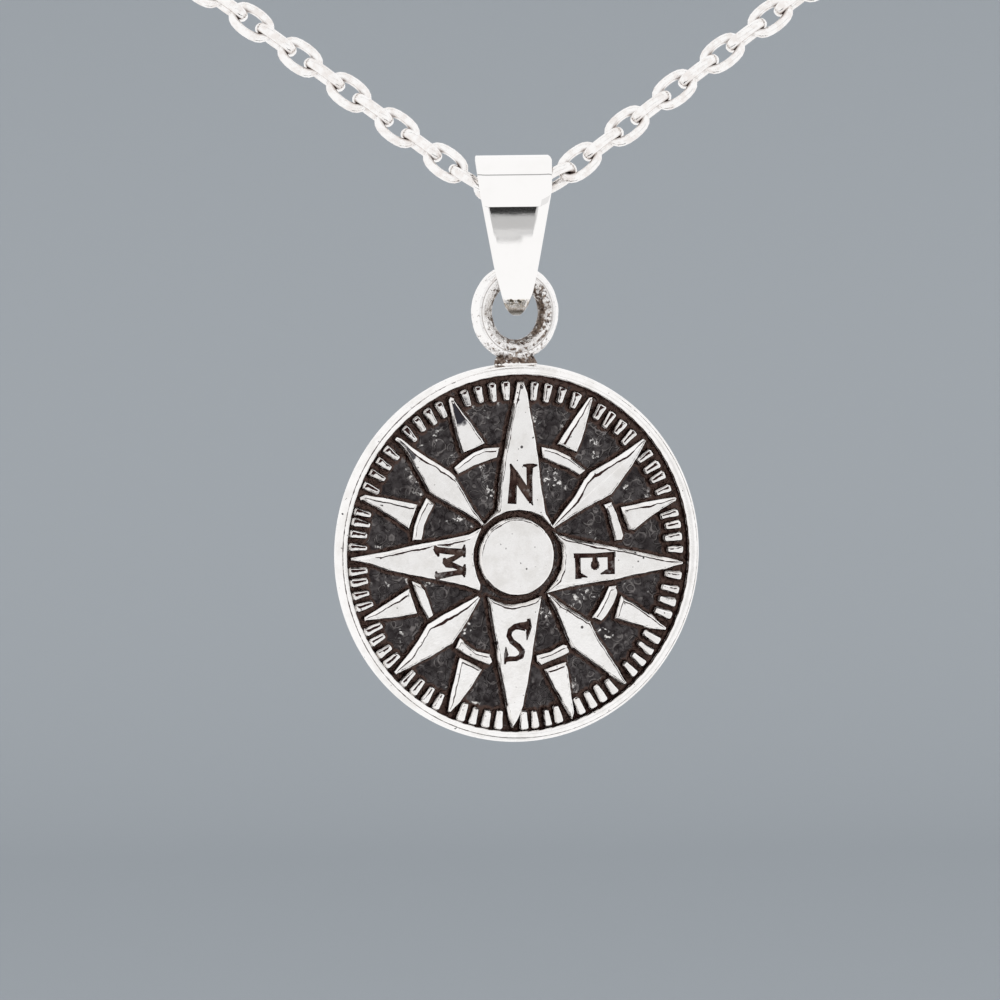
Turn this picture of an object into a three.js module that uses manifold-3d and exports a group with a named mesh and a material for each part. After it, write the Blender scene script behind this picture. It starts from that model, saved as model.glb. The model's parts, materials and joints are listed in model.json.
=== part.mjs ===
// Compass pendant on a cable chain: a cast round medallion with a raised compass rose and a
// soldered loop, a tapered folded bail, and a closed chain with a plain barrel clasp.
// Millimetres, +Z up. The origin is at the nape, where the chain goes round the neck, and the
// pendant hangs at the front, towards -Y.

import * as THREE from 'three';
import { mergeVertices } from 'three/addons/utils/BufferGeometryUtils.js';
import Module from 'manifold-3d';

const wasm = await Module();
wasm.setup();

// Chain and clasp
const CHAIN_WIDTH = 1.75;
const CHAIN_STEPS = 79;
const CHAIN_SIDES = 8;
const CLASP_LENGTH = 8;
const CLASP_DIAMETER = 2.6;
const CLASP_ROUNDING = 0.6;
const CLASP_GAP = 0.3;

// Right half of the chain's route, from the bail's middle to the nape
const CHAIN_ROUTE = [
  [2.7, -122, -102.5],
  [21.3, -121.2, -88.9],
  [38, -116, -76.3],
  [51.5, -99.5, -58],
  [57.5, -69, -34.5],
  [52, -34, -13.5],
  [32.5, -9, -2],
  [14, -0.8, 0],
];

// Bail: a tapered strip folded over the chain, its ends soldered under the loop
const SHEET = 0.5;
const CHAIN_PLAY = 0.12;
const FOLD_RADIUS = 1.9;
const BAIL_WIDTH = 4.06;
const BAIL_HEIGHT = 8.43;
const BAIL_CORNER = 0.3;
const CRADLE_THICKNESS = 1.05;
const CRADLE_SIDE = 0.45;
const LOOP_PLAY = 0.9;
const LOOP_SEAT = 0.58;
const FOLD_STEPS = 20;

// The strip's outline seen from the front, as shares of its height and width
const BAIL_TAPER = [
  { down: 0.26, width: 0.91 },
  { down: 0.7, width: 0.57 },
  { down: 0.86, width: 0.39 },
  { down: 0.94, width: 0.28 },
  { down: 0.985, width: 0.15 },
];

// Loop soldered on the medallion's edge
const LOOP_WIRE = 1.1;
const LOOP_WIDTH = 4.76;
const LOOP_HEIGHT = 5.1;
const SOLDER_WIDTH = 2.3;
const SOLDER_HEIGHT = 1.5;
const SOLDER_DEPTH = 1.15;
const SOLDER_GAP = 0.15;

// Medallion
const DISC_RADIUS = 10;
const DISC_THICKNESS = 1.7;
const RIM_WIDTH = 0.6;
const RIM_BACK_ROUNDING = 0.5;
const GROUND_DEPTH = 0.55;
const DISC_SEGMENTS = 96;
const ROUNDING_STEPS = 4;
const MEDALLION_TURN = 16.7;
const ROSE_TURN = -1.7;

// Raised rose, each height measured from the ground
const POINT_HEIGHT = 0.5;
const DIAGONAL_HEIGHT = 0.46;
const SPUR_HEIGHT = 0.42;
const BAR_HEIGHT = 0.36;
const TICK_HEIGHT = 0.38;
const BOSS_HEIGHT = 0.56;
const ROOT = 0.1;

const POINT_TIP = 9.02;
const BOSS_RADIUS = 2.06;
const BOSS_ROUNDING = 0.2;
const MOAT_WIDTH = 0.33;
const POINT_HALF_WIDTH = 1.346;
const POINT_TIP_HALF_WIDTH = 0.1;
const DIAGONAL_START_GAP = 0.22;
const DIAGONAL_HALF_WIDTH = 0.686;
const DIAGONAL_WIDEST = 5.75;
const SPUR_BASE = 6.28;
const SPUR_HALF_WIDTH = 0.607;
const BAR_INNER = 5.38;
const BAR_WIDTH = 0.42;
const BAR_HALF_ANGLE = 11.2;
const TICK_WIDTH = 0.4;
const TICK_LENGTH = 1;
const TICK_RIM_GAP = 0.12;
const TICKS_BETWEEN_POINTS = 4;
const LETTER_DEPTH = 0.3;
const LETTER_STROKE = 0.3;
const LETTER_HEIGHT = 2.05;
const LETTER_WIDTH = 1.5;

// Half width of a main point along its length, as shares of the point's length and root width
const POINT_TAPER = [
  { along: 0.45, width: 0.713 },
  { along: 0.75, width: 0.44 },
];

// Letters as straight strokes, in shares of the letter's width and height about its centre
const LETTER_N = [
  [-0.36, -0.5, -0.36, 0.5],
  [-0.36, 0.42, 0.34, -0.46],
  [0.34, -0.46, 0.34, 0.5],
  [-0.56, -0.45, -0.12, -0.45],
  [0.1, 0.45, 0.56, 0.45],
];
const LETTER_E = [
  [-0.36, -0.5, -0.36, 0.5],
  [-0.4, -0.44, 0.44, -0.44],
  [-0.4, 0, 0.14, 0],
  [-0.4, 0.44, 0.44, 0.44],
  [0.4, -0.48, 0.4, -0.24],
  [0.4, 0.24, 0.4, 0.48],
];
const LETTER_S = [
  [0.38, 0.2, 0.4, 0.5],
  [0.38, 0.38, -0.2, 0.44],
  [-0.2, 0.44, -0.36, 0.2],
  [-0.36, 0.2, 0.3, -0.16],
  [0.3, -0.16, 0.26, -0.42],
  [0.26, -0.42, -0.34, -0.4],
  [-0.4, -0.16, -0.44, -0.5],
];
const LETTER_W = [
  [-0.58, 0.42, -0.3, -0.4],
  [-0.3, -0.4, 0.02, 0.2],
  [0.02, 0.2, 0.34, -0.4],
  [0.34, -0.4, 0.56, 0.42],
  [-0.66, 0.4, -0.36, 0.4],
  [0.36, 0.4, 0.66, 0.4],
];
const LETTERS = [
  { strokes: LETTER_N, centre: 3.85 },
  { strokes: LETTER_W, centre: 3.72 },
  { strokes: LETTER_S, centre: 4.38 },
  { strokes: LETTER_E, centre: 4.27 },
];

const radians = THREE.MathUtils.degToRad;

const polished = new THREE.MeshStandardMaterial({ color: 0xe8e6e3, metalness: 1, roughness: 0.15 });
const oxidised = new THREE.MeshStandardMaterial({ color: 0xb9b5b2, metalness: 1, roughness: 0.35 });

// Solids and booleans

function solidFrom(geometry) {
  const bare = geometry.clone();
  bare.deleteAttribute('normal');
  bare.deleteAttribute('uv');
  const merged = mergeVertices(bare, 1e-4);
  const index = merged.index.array;
  const triangles = [];
  for (let i = 0; i < index.length; i += 3) {
    const [a, b, c] = [index[i], index[i + 1], index[i + 2]];
    if (a !== b && b !== c && c !== a) triangles.push(a, b, c);
  }
  return new wasm.Manifold(new wasm.Mesh({
    numProp: 3,
    vertProperties: new Float32Array(merged.attributes.position.array),
    triVerts: new Uint32Array(triangles),
  }));
}

function geometryFrom(solid) {
  const mesh = solid.getMesh();
  const geometry = new THREE.BufferGeometry();
  geometry.setAttribute('position', new THREE.BufferAttribute(mesh.vertProperties, 3));
  geometry.setIndex(new THREE.BufferAttribute(mesh.triVerts, 1));
  geometry.computeVertexNormals();
  return geometry;
}

function union(geometries) {
  return geometries.map(solidFrom).reduce((all, next) => all.add(next));
}

// Flat outlines

function outline(points) {
  return new THREE.Shape(points.map(([x, y]) => new THREE.Vector2(x, y)));
}

function raised(shape, bottom, height) {
  const geometry = new THREE.ExtrudeGeometry(shape, { depth: height, bevelEnabled: false, curveSegments: 6 });
  return geometry.translate(0, 0, bottom);
}

// An outline symmetric about +Y from rows of [distance out, half width]
function tapered(rows) {
  const right = rows.map(([out, half]) => [half, out]);
  const left = rows.filter(([, half]) => half > 0).map(([out, half]) => [-half, out]);
  return outline([...right, ...left.reverse()]);
}

function ringSector(inner, outer, halfAngle) {
  const shape = new THREE.Shape();
  const middle = Math.PI / 2;
  shape.absarc(0, 0, outer, middle - halfAngle, middle + halfAngle, false);
  shape.absarc(0, 0, inner, middle + halfAngle, middle - halfAngle, true);
  shape.closePath();
  return shape;
}

function arc(centreX, centreY, radius, from, to, steps) {
  const points = [];
  for (let i = 0; i <= steps; i += 1) {
    const angle = radians(from + ((to - from) * i) / steps);
    points.push([centreX + radius * Math.cos(angle), centreY + radius * Math.sin(angle)]);
  }
  return points;
}

// Medallion, made face up: x right, y up the face, z out of it

const face = DISC_THICKNESS / 2;
const ground = face - GROUND_DEPTH;
const groundRadius = DISC_RADIUS - RIM_WIDTH;
const pointStart = BOSS_RADIUS + MOAT_WIDTH;

function discBody() {
  const rimRadius = RIM_WIDTH / 2;
  const profile = [
    [0, -face],
    ...arc(DISC_RADIUS - RIM_BACK_ROUNDING, -face + RIM_BACK_ROUNDING, RIM_BACK_ROUNDING, -90, 0, ROUNDING_STEPS),
    ...arc(DISC_RADIUS - rimRadius, face - rimRadius, rimRadius, 0, 180, 2 * ROUNDING_STEPS),
    [groundRadius, ground],
    [0, ground],
  ];
  const points = profile.map(([r, z]) => new THREE.Vector2(r, z));
  return new THREE.LatheGeometry(points, DISC_SEGMENTS).rotateX(Math.PI / 2);
}

function boss() {
  const top = ground + BOSS_HEIGHT;
  const profile = [
    [0, ground - ROOT],
    [BOSS_RADIUS, ground - ROOT],
    ...arc(BOSS_RADIUS - BOSS_ROUNDING, top - BOSS_ROUNDING, BOSS_ROUNDING, 0, 90, ROUNDING_STEPS),
    [0, top],
  ];
  const points = profile.map(([r, z]) => new THREE.Vector2(r, z));
  return new THREE.LatheGeometry(points, DISC_SEGMENTS / 2).rotateX(Math.PI / 2);
}

function relief(shape, height, angle) {
  return raised(shape, ground - ROOT, height + ROOT).rotateZ(radians(angle));
}

function mainPoint(angle) {
  const length = POINT_TIP - pointStart;
  const shape = tapered([
    [pointStart, POINT_HALF_WIDTH],
    ...POINT_TAPER.map((row) => [pointStart + row.along * length, row.width * POINT_HALF_WIDTH]),
    [POINT_TIP, POINT_TIP_HALF_WIDTH],
  ]);
  return relief(shape, POINT_HEIGHT, angle);
}

function diagonalPoint(angle) {
  const shape = tapered([
    [pointStart + DIAGONAL_START_GAP, 0],
    [DIAGONAL_WIDEST, DIAGONAL_HALF_WIDTH],
    [POINT_TIP, 0],
  ]);
  return relief(shape, DIAGONAL_HEIGHT, angle);
}

function spur(angle) {
  return relief(tapered([[SPUR_BASE, SPUR_HALF_WIDTH], [POINT_TIP, 0]]), SPUR_HEIGHT, angle);
}

function bar(angle) {
  const shape = ringSector(BAR_INNER, BAR_INNER + BAR_WIDTH, radians(BAR_HALF_ANGLE));
  return relief(shape, BAR_HEIGHT, angle);
}

function tick(angle) {
  const outer = groundRadius - TICK_RIM_GAP;
  const shape = tapered([[outer - TICK_LENGTH, TICK_WIDTH / 2], [outer, TICK_WIDTH / 2]]);
  return relief(shape, TICK_HEIGHT, angle);
}

function rose() {
  const pieces = [boss()];
  const pointPitch = 360 / 16;
  const tickPitch = pointPitch / (TICKS_BETWEEN_POINTS + 1);
  for (let i = 0; i < 16; i += 1) {
    const angle = i * pointPitch;
    if (i % 4 === 0) pieces.push(mainPoint(angle));
    else if (i % 4 === 2) pieces.push(diagonalPoint(angle));
    else pieces.push(spur(angle), bar(angle));
    for (let k = 1; k <= TICKS_BETWEEN_POINTS; k += 1) pieces.push(tick(angle + k * tickPitch));
  }
  return pieces;
}

// One straight pen stroke with square ends, as a cutter through the point's face
function strokeCutter([x0, y0, x1, y1], centre, angle) {
  const from = new THREE.Vector2(x0 * LETTER_WIDTH, y0 * LETTER_HEIGHT);
  const to = new THREE.Vector2(x1 * LETTER_WIDTH, y1 * LETTER_HEIGHT);
  const along = to.clone().sub(from);
  const top = ground + POINT_HEIGHT;
  const cutter = new THREE.BoxGeometry(along.length(), LETTER_STROKE, 2 * LETTER_DEPTH);
  cutter.rotateZ(along.angle());
  cutter.translate((from.x + to.x) / 2, centre + (from.y + to.y) / 2, top);
  return cutter.rotateZ(radians(angle));
}

function letterCutters() {
  const quarter = 360 / LETTERS.length;
  return LETTERS.flatMap(({ strokes, centre }, i) => (
    strokes.map((stroke) => strokeCutter(stroke, centre, i * quarter))
  ));
}

const loopCentre = DISC_RADIUS + SOLDER_GAP + LOOP_HEIGHT / 2;

function hangingLoop() {
  const wireRadius = LOOP_WIRE / 2;
  const middleRadius = (LOOP_HEIGHT - LOOP_WIRE) / 2;
  const ring = new THREE.TorusGeometry(middleRadius, wireRadius, 12, 40);
  const squeeze = (LOOP_WIDTH - LOOP_WIRE) / (LOOP_HEIGHT - LOOP_WIRE);
  const place = ring.attributes.position;
  for (let i = 0; i < place.count; i += 1) {
    const [x, y] = [place.getX(i), place.getY(i)];
    const middle = (x / Math.hypot(x, y)) * middleRadius;
    place.setX(i, x - middle * (1 - squeeze));
  }
  return ring.translate(0, loopCentre, 0);
}

function solderJoint() {
  const blob = new THREE.SphereGeometry(0.5, 16, 10);
  blob.scale(SOLDER_WIDTH, SOLDER_HEIGHT, SOLDER_DEPTH);
  return blob.translate(0, DISC_RADIUS, 0);
}

function medallion() {
  const plate = union([discBody(), solderJoint(), hangingLoop()]);
  const turn = radians(ROSE_TURN);
  const turned = (geometries) => geometries.map((geometry) => geometry.rotateZ(turn));
  const carved = union(turned(rose())).subtract(union(turned(letterCutters())));
  const mesh = new THREE.Mesh(geometryFrom(plate.add(carved)), oxidised);
  mesh.name = 'medallion';
  return mesh;
}

// Bail, about the chain's middle: x along the chain, z up

const foldCentre = CHAIN_WIDTH / 2 + CHAIN_PLAY - FOLD_RADIUS;
const bailTop = foldCentre + FOLD_RADIUS + SHEET;
const bailTip = bailTop - BAIL_HEIGHT;
const cradleFloor = bailTip + CRADLE_THICKNESS;
const loopWireHeight = cradleFloor + LOOP_SEAT + LOOP_WIRE / 2;

// A fold from the side: two round ends, a wide one above a narrow one, and straight leaves
function foldOutline(topRadius, topCentre, bottomRadius, bottomCentre) {
  const lean = THREE.MathUtils.radToDeg(Math.asin((topRadius - bottomRadius) / (topCentre - bottomCentre)));
  return [
    ...arc(0, topCentre, topRadius, -lean, 180 + lean, FOLD_STEPS),
    ...arc(0, bottomCentre, bottomRadius, 180 + lean, 360 - lean, FOLD_STEPS),
  ];
}

function foldedSheet() {
  const cradleRadius = LOOP_WIRE / 2 + LOOP_PLAY;
  const underRadius = cradleRadius + CRADLE_SIDE;
  const shape = outline(foldOutline(FOLD_RADIUS + SHEET, foldCentre, underRadius, bailTip + underRadius));
  const inside = foldOutline(FOLD_RADIUS, foldCentre, cradleRadius, cradleFloor + cradleRadius);
  shape.holes.push(new THREE.Path(inside.map(([y, z]) => new THREE.Vector2(y, z))));
  const sheet = new THREE.ExtrudeGeometry(shape, { depth: BAIL_WIDTH, bevelEnabled: false });
  return sheet.translate(0, 0, -BAIL_WIDTH / 2).rotateX(Math.PI / 2).rotateZ(Math.PI / 2);
}

function taperedStrip() {
  const half = BAIL_WIDTH / 2;
  const corner = arc(half - BAIL_CORNER, bailTop - BAIL_CORNER, BAIL_CORNER, 90, 0, ROUNDING_STEPS);
  const side = BAIL_TAPER.map((row) => [row.width * half, bailTop - row.down * BAIL_HEIGHT]);
  const right = [...corner, ...side];
  const left = right.map(([x, z]) => [-x, z]).reverse();
  const depth = 4 * (FOLD_RADIUS + SHEET);
  const strip = new THREE.ExtrudeGeometry(
    outline([...right, [0, bailTip], ...left]),
    { depth, bevelEnabled: false },
  );
  return strip.translate(0, 0, -depth / 2).rotateX(Math.PI / 2);
}

function bail() {
  const solid = solidFrom(foldedSheet()).intersect(solidFrom(taperedStrip()));
  const mesh = new THREE.Mesh(geometryFrom(solid), polished);
  mesh.name = 'bail';
  return mesh;
}

// Chain and clasp

function chainCurve() {
  const end = [CLASP_LENGTH / 2 + CLASP_GAP, 0, 0];
  const right = [...CHAIN_ROUTE, end].map(([x, y, z]) => new THREE.Vector3(x, y, z));
  const left = right.map(({ x, y, z }) => new THREE.Vector3(-x, y, z));
  return new THREE.CatmullRomCurve3([...left.reverse(), ...right], false, 'centripetal');
}

function chain() {
  const section = new THREE.Shape();
  for (let i = 0; i < CHAIN_SIDES; i += 1) {
    const angle = ((i + 0.5) / CHAIN_SIDES) * 2 * Math.PI;
    const [x, y] = [(CHAIN_WIDTH / 2) * Math.cos(angle), (CHAIN_WIDTH / 2) * Math.sin(angle)];
    if (i === 0) section.moveTo(x, y);
    else section.lineTo(x, y);
  }
  section.closePath();
  const tube = new THREE.ExtrudeGeometry(section, {
    steps: CHAIN_STEPS,
    extrudePath: chainCurve(),
    bevelEnabled: false,
  });
  const mesh = new THREE.Mesh(tube, polished);
  mesh.name = 'chain';
  return mesh;
}

function clasp() {
  const radius = CLASP_DIAMETER / 2;
  const end = CLASP_LENGTH / 2;
  const profile = [
    [0, -end],
    ...arc(radius - CLASP_ROUNDING, CLASP_ROUNDING - end, CLASP_ROUNDING, -90, 0, ROUNDING_STEPS),
    ...arc(radius - CLASP_ROUNDING, end - CLASP_ROUNDING, CLASP_ROUNDING, 0, 90, ROUNDING_STEPS),
    [0, end],
  ];
  const barrel = new THREE.LatheGeometry(profile.map(([r, y]) => new THREE.Vector2(r, y)), 24);
  const mesh = new THREE.Mesh(geometryFrom(solidFrom(barrel)), polished);
  mesh.name = 'clasp';
  mesh.rotation.z = Math.PI / 2;
  return mesh;
}

// Assembly

const standing = new THREE.Group();
standing.add(medallion());
standing.children[0].position.y = -(loopCentre + (LOOP_HEIGHT - LOOP_WIRE) / 2);
standing.rotation.x = Math.PI / 2;

const twisted = new THREE.Group();
twisted.add(standing);
twisted.position.z = loopWireHeight;
twisted.rotation.z = radians(MEDALLION_TURN);

const pendant = new THREE.Group();
pendant.add(bail(), twisted);
pendant.position.set(0, CHAIN_ROUTE[0][1], CHAIN_ROUTE[0][2]);

const necklace = new THREE.Group();
necklace.add(chain(), clasp(), pendant);

export default necklace;
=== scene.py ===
# %% [markdown]
# # A silver compass pendant on its chain
# This notebook dresses a measured model of a cast silver pendant: a round medallion with a
# raised compass rose, the soldered loop it hangs by, a folded bail and a cable chain.
# The measured solids give every place and size. What is added here is what the eye wants:
# softened edges, letters with serifs, real interlocking links, polish on the high places and
# dark oxide in the low ones.

# %% Tools and the measured model
import json
import math
import random

import bmesh
import bpy
from mathutils import Matrix, Quaternion, Vector, geometry, kdtree, noise


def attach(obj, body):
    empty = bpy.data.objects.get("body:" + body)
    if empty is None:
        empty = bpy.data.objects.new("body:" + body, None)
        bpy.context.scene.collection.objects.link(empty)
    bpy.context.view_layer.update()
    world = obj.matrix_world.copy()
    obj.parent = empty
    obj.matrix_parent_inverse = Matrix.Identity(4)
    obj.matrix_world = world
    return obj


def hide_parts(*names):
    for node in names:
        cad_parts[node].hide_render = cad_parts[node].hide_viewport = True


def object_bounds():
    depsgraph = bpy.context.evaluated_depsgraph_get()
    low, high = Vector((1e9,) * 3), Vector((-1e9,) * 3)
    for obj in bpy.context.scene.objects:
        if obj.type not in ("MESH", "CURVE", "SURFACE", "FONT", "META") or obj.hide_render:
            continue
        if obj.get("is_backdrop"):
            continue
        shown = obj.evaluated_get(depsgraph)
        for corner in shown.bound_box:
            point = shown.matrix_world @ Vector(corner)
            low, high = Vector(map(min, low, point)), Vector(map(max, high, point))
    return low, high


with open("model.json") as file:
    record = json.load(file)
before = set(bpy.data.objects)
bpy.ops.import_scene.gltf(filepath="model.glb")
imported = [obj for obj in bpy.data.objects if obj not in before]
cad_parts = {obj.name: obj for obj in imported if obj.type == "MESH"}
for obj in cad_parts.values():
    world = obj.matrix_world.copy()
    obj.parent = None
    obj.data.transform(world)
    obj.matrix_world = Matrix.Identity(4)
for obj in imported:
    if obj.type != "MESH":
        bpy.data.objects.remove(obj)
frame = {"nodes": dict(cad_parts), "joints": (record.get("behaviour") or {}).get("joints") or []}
cad_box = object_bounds()
MM = 0.001

# Noise vectors take their start from the clock unless it is given, so it is given here
NOISE_SEED = 5
noise.seed_set(NOISE_SEED)

joint_place = {joint["name"]: Vector(joint["pos_m"]) for joint in frame["joints"]}
print("measured pieces:", sorted(frame["nodes"]))

# %% [markdown]
# ## The camera
# A small bright thing is photographed with a long lens, so that the near edge does not swell.
# The camera stands a little above the pendant's middle and leans by half a degree.
# Its distance follows from how many pixels a millimetre of silver fills.

# %% Camera
PICTURE_WIDTH = 1000
PIXELS_PER_MM = 18.95
DISC_IN_PICTURE = (516.9, 552.9)
DISC_CENTRE = Vector((0.0, -0.122, -0.121955))
CAMERA_RISE = math.radians(2.9)
CAMERA_ROLL = math.radians(-0.65)
LENS = 200
SENSOR = 36

scene = bpy.context.scene
camera_data = bpy.data.cameras.new("camera")
camera_data.lens = LENS
camera_data.sensor_width = SENSOR
camera_data.clip_start = 0.01
camera_data.clip_end = 20
camera = bpy.data.objects.new("camera", camera_data)
scene.collection.objects.link(camera)

metres_per_pixel = MM / PIXELS_PER_MM
offset_x = (PICTURE_WIDTH / 2 - DISC_IN_PICTURE[0]) * metres_per_pixel
offset_z = (DISC_IN_PICTURE[1] - PICTURE_WIDTH / 2) * metres_per_pixel
aim = DISC_CENTRE + Vector((offset_x, 0, offset_z / math.cos(CAMERA_RISE)))
sight = Vector((0, math.cos(CAMERA_RISE), -math.sin(CAMERA_RISE)))
camera_distance = PICTURE_WIDTH * metres_per_pixel * LENS / SENSOR
camera.location = aim - sight * camera_distance
camera.rotation_mode = "QUATERNION"
camera.rotation_quaternion = sight.to_track_quat("-Z", "Y") @ Quaternion((0, 0, 1), CAMERA_ROLL)
scene.camera = camera
scene.view_settings.view_transform = "Standard"
print(f"camera {camera_distance:.3f} m away")

# %% [markdown]
# ## Helpers
# A piece is drawn in millimetres about its own middle, where its numbers are easy to read, and
# then carried to its place in one step. Every piece starts in a bmesh, so the same few
# operators (spin, extrude, inset, bevel) make them all.

# %% Helpers for shapes


def finish_piece(name, mesh_data, place):
    """Carries a drawn piece to its place and gives it an object at the origin"""
    bmesh.ops.recalc_face_normals(mesh_data, faces=mesh_data.faces)
    bmesh.ops.transform(mesh_data, matrix=place, verts=mesh_data.verts)
    mesh = bpy.data.meshes.new(name)
    mesh_data.to_mesh(mesh)
    mesh_data.free()
    piece = bpy.data.objects.new(name, mesh)
    scene.collection.objects.link(piece)
    return piece


def only(kind, made):
    """The vertices or faces among what an operator made"""
    return [item for item in made["geom"] if isinstance(item, kind)]


def combine(body, tool, operation):
    """Joins a tool to a body, or cuts the body with it, and uses the tool up"""
    step = body.modifiers.new(operation, "BOOLEAN")
    step.operation = operation
    step.object = tool
    step.solver = "MANIFOLD"
    settle(body)
    bpy.data.objects.remove(tool)


def settle(piece):
    """Makes a piece's modifiers permanent"""
    graph = bpy.context.evaluated_depsgraph_get()
    mesh = bpy.data.meshes.new_from_object(piece.evaluated_get(graph))
    piece.modifiers.clear()
    piece.data = mesh


def smooth(piece, angle):
    """Smooth shading with creases where faces meet at more than the angle"""
    piece.data.shade_smooth()
    piece.data.set_sharp_from_angle(angle=math.radians(angle))


def hand_over(piece, body, node):
    """Puts a piece under its body's empty and hides the measured piece that it stands for"""
    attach(piece, body)
    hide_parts(node)
    print(piece.name, "faces:", len(piece.data.polygons))


def arc(centre_x, centre_y, radius, start, end, steps):
    """Points on an arc, in degrees"""
    angles = [math.radians(start + (end - start) * i / steps) for i in range(steps + 1)]
    return [(centre_x + radius * math.cos(a), centre_y + radius * math.sin(a)) for a in angles]


def spin_profile(mesh_data, profile, steps, closed=False):
    """Turns a row of points right round the upright axis; a closed row makes a ring"""
    verts = [mesh_data.verts.new(point) for point in profile]
    edges = [mesh_data.edges.new(pair) for pair in zip(verts, verts[1:])]
    if closed:
        edges.append(mesh_data.edges.new((verts[-1], verts[0])))
    bmesh.ops.spin(
        mesh_data,
        geom=verts + edges,
        cent=(0, 0, 0),
        axis=(0, 0, 1),
        dvec=(0, 0, 0),
        angle=2 * math.pi,
        steps=steps,
        use_merge=True,
        use_duplicate=False,
    )
    bmesh.ops.remove_doubles(mesh_data, verts=mesh_data.verts, dist=1e-5)


# %% [markdown]
# ## The medallion's plate
# The plate was cast with a sunk ground inside a rounded rim. Spinning one profile gives the
# plate, rim and back in a single closed shape. The ground gets many rings, because its hammered
# dimples are real hollows here: a cell pattern pushes each vertex down towards its cell's middle.

# %% Plate
DISC_RADIUS = 10
DISC_THICKNESS = 1.7
RIM_WIDTH = 0.6
RIM_CREST = 9.56
RIM_ROUNDING = 0.16
BACK_ROUNDING = 0.7
EDGE_HEIGHT = 0.1
RIM_LINE = 0.03
SUNK_SHIFT = -0.1
GROUND_DEPTH = 0.55
PLATE_STEPS = 360
GROUND_STEP = 0.13
BOSS_RADIUS = 2.07
DIMPLE_SIZE = 0.52
DIMPLE_DEPTH = 0.1

FACE = DISC_THICKNESS / 2
GROUND = FACE - GROUND_DEPTH
GROUND_RADIUS = DISC_RADIUS - RIM_WIDTH


def oval(centre, across, up, start, end, steps):
    """Part of an oval round the plate's widest edge, in degrees"""
    unit = arc(0, 0, 1, start, end, steps)
    return [(centre + across * x, EDGE_HEIGHT + up * y) for x, y in unit]


def plate_profile():
    """Distance from the middle and height, from the back's middle round to the front's"""
    back = oval(DISC_RADIUS - BACK_ROUNDING, BACK_ROUNDING, EDGE_HEIGHT + FACE, -90, 0, 9)
    outer = oval(RIM_CREST, DISC_RADIUS - RIM_CREST, FACE - EDGE_HEIGHT, 0, 90, 10)[1:]
    outer[5] = (outer[5][0] - RIM_LINE, outer[5][1] - RIM_LINE)
    inner = arc(GROUND_RADIUS + RIM_ROUNDING, FACE - RIM_ROUNDING, RIM_ROUNDING, 90, 180, 6)
    rings = int((GROUND_RADIUS - BOSS_RADIUS) / GROUND_STEP)
    floor = [(GROUND_RADIUS - GROUND_STEP * i, GROUND) for i in range(rings + 1)]
    return [(0, -FACE), *back, *outer, *inner, *floor, (0, GROUND)]


def dimple(x, y):
    """How far the ground is hammered down at a place"""
    place = Vector((x, y, 0)) / DIMPLE_SIZE
    nearest = noise.voronoi(place)[0][0]
    bowl = 1 - min(nearest / 0.62, 1) ** 2
    drift = 0.6 + 0.4 * noise.noise(place * 0.35)
    return DIMPLE_DEPTH * bowl * drift


def make_plate():
    plate = bmesh.new()
    profile = [(r, 0, z) for r, z in plate_profile()]
    spin_profile(plate, profile, PLATE_STEPS)
    line = profile[17]
    for vert in plate.verts:
        x, y, z = vert.co
        distance = math.hypot(x, y)
        if abs(z - GROUND) < 1e-4 and distance < GROUND_RADIUS - GROUND_STEP / 2:
            vert.co.z -= dimple(x, y)
        if distance < RIM_CREST and z > 0:
            vert.co.x += SUNK_SHIFT
        # The rim's fine line is painted dark as well: oxide with a painted dark reflection that fades
        # where the rim faces up
        if abs(distance - line[0]) < 1e-4 and abs(z - line[2]) < 1e-4:
            upper = (0.1 * x + y) / distance
            oxide_and_reflection_lines.append((vert.co.copy(), 0.72 - 1.5 * max(0, upper - 0.72)))
    return finish_piece("plate", plate, Matrix.Identity(4))


# %% [markdown]
# ## The raised rose
# Each point, spur, bar and tick is a low block standing in the ground. Its outline is cut into
# short stretches and nudged by a smooth noise, because the wax that the casting was made from
# was carved by hand. Polishing gave every top a bright sloping facet, wide where it faces up and
# narrow elsewhere. Behind the facet a small lip drops to the flat. The line in that corner is
# painted dark: oxide there, with a painted dark reflection that is strongest where the edge faces
# up. Insets make these borders, and the corner's places are kept for the material.

# %% Raised blocks
ROOT = 0.25
WOBBLE = 0.02
WOBBLE_SCALE = 1.9
OUTLINE_STEP = 0.22
FACET_DROP = 0.13
FACET_NARROW = 0.07
FACET_WIDER = 0.11
LIP_WIDTH = 0.045
LIP_DROP = 0.04
UPWARDS = Vector((-0.35, 0.94))

POINT_HEIGHT = 0.5
DIAGONAL_HEIGHT = 0.48
SPUR_HEIGHT = 0.46
BAR_HEIGHT = 0.43
TICK_HEIGHT = 0.42
BOSS_HEIGHT = 0.54

# Places in the corner behind each facet, with how dark the line there is painted: oxide with a painted
# dark reflection
oxide_and_reflection_lines = []


def turned(points, angle):
    """Outline points turned about the middle by an angle in degrees"""
    turn = Matrix.Rotation(math.radians(angle), 2)
    return [turn @ Vector(point) for point in points]


def inward_steps(ring):
    """For each corner of a closed outline, the step inwards that keeps a border even"""
    steps = []
    for i, here in enumerate(ring):
        before = (here - ring[i - 1]).normalized()
        after = (ring[(i + 1) % len(ring)] - here).normalized()
        inward = Vector((-before.y - after.y, before.x + after.x))
        steps.append(inward / max(0.45, 1 + before.dot(after)))
    return steps


def room_inside(ring, i, step):
    """How many steps inwards fit before a corner meets the far side of its outline"""
    here, far = ring[i], ring[i] + step * 9
    nearest = 9.0
    for k, start in enumerate(ring):
        end = ring[(k + 1) % len(ring)]
        if k != i and (k + 1) % len(ring) != i:
            meeting = geometry.intersect_line_line_2d(here, far, start, end)
            if meeting:
                nearest = min(nearest, (meeting - here).length / step.length)
    return nearest


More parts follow.
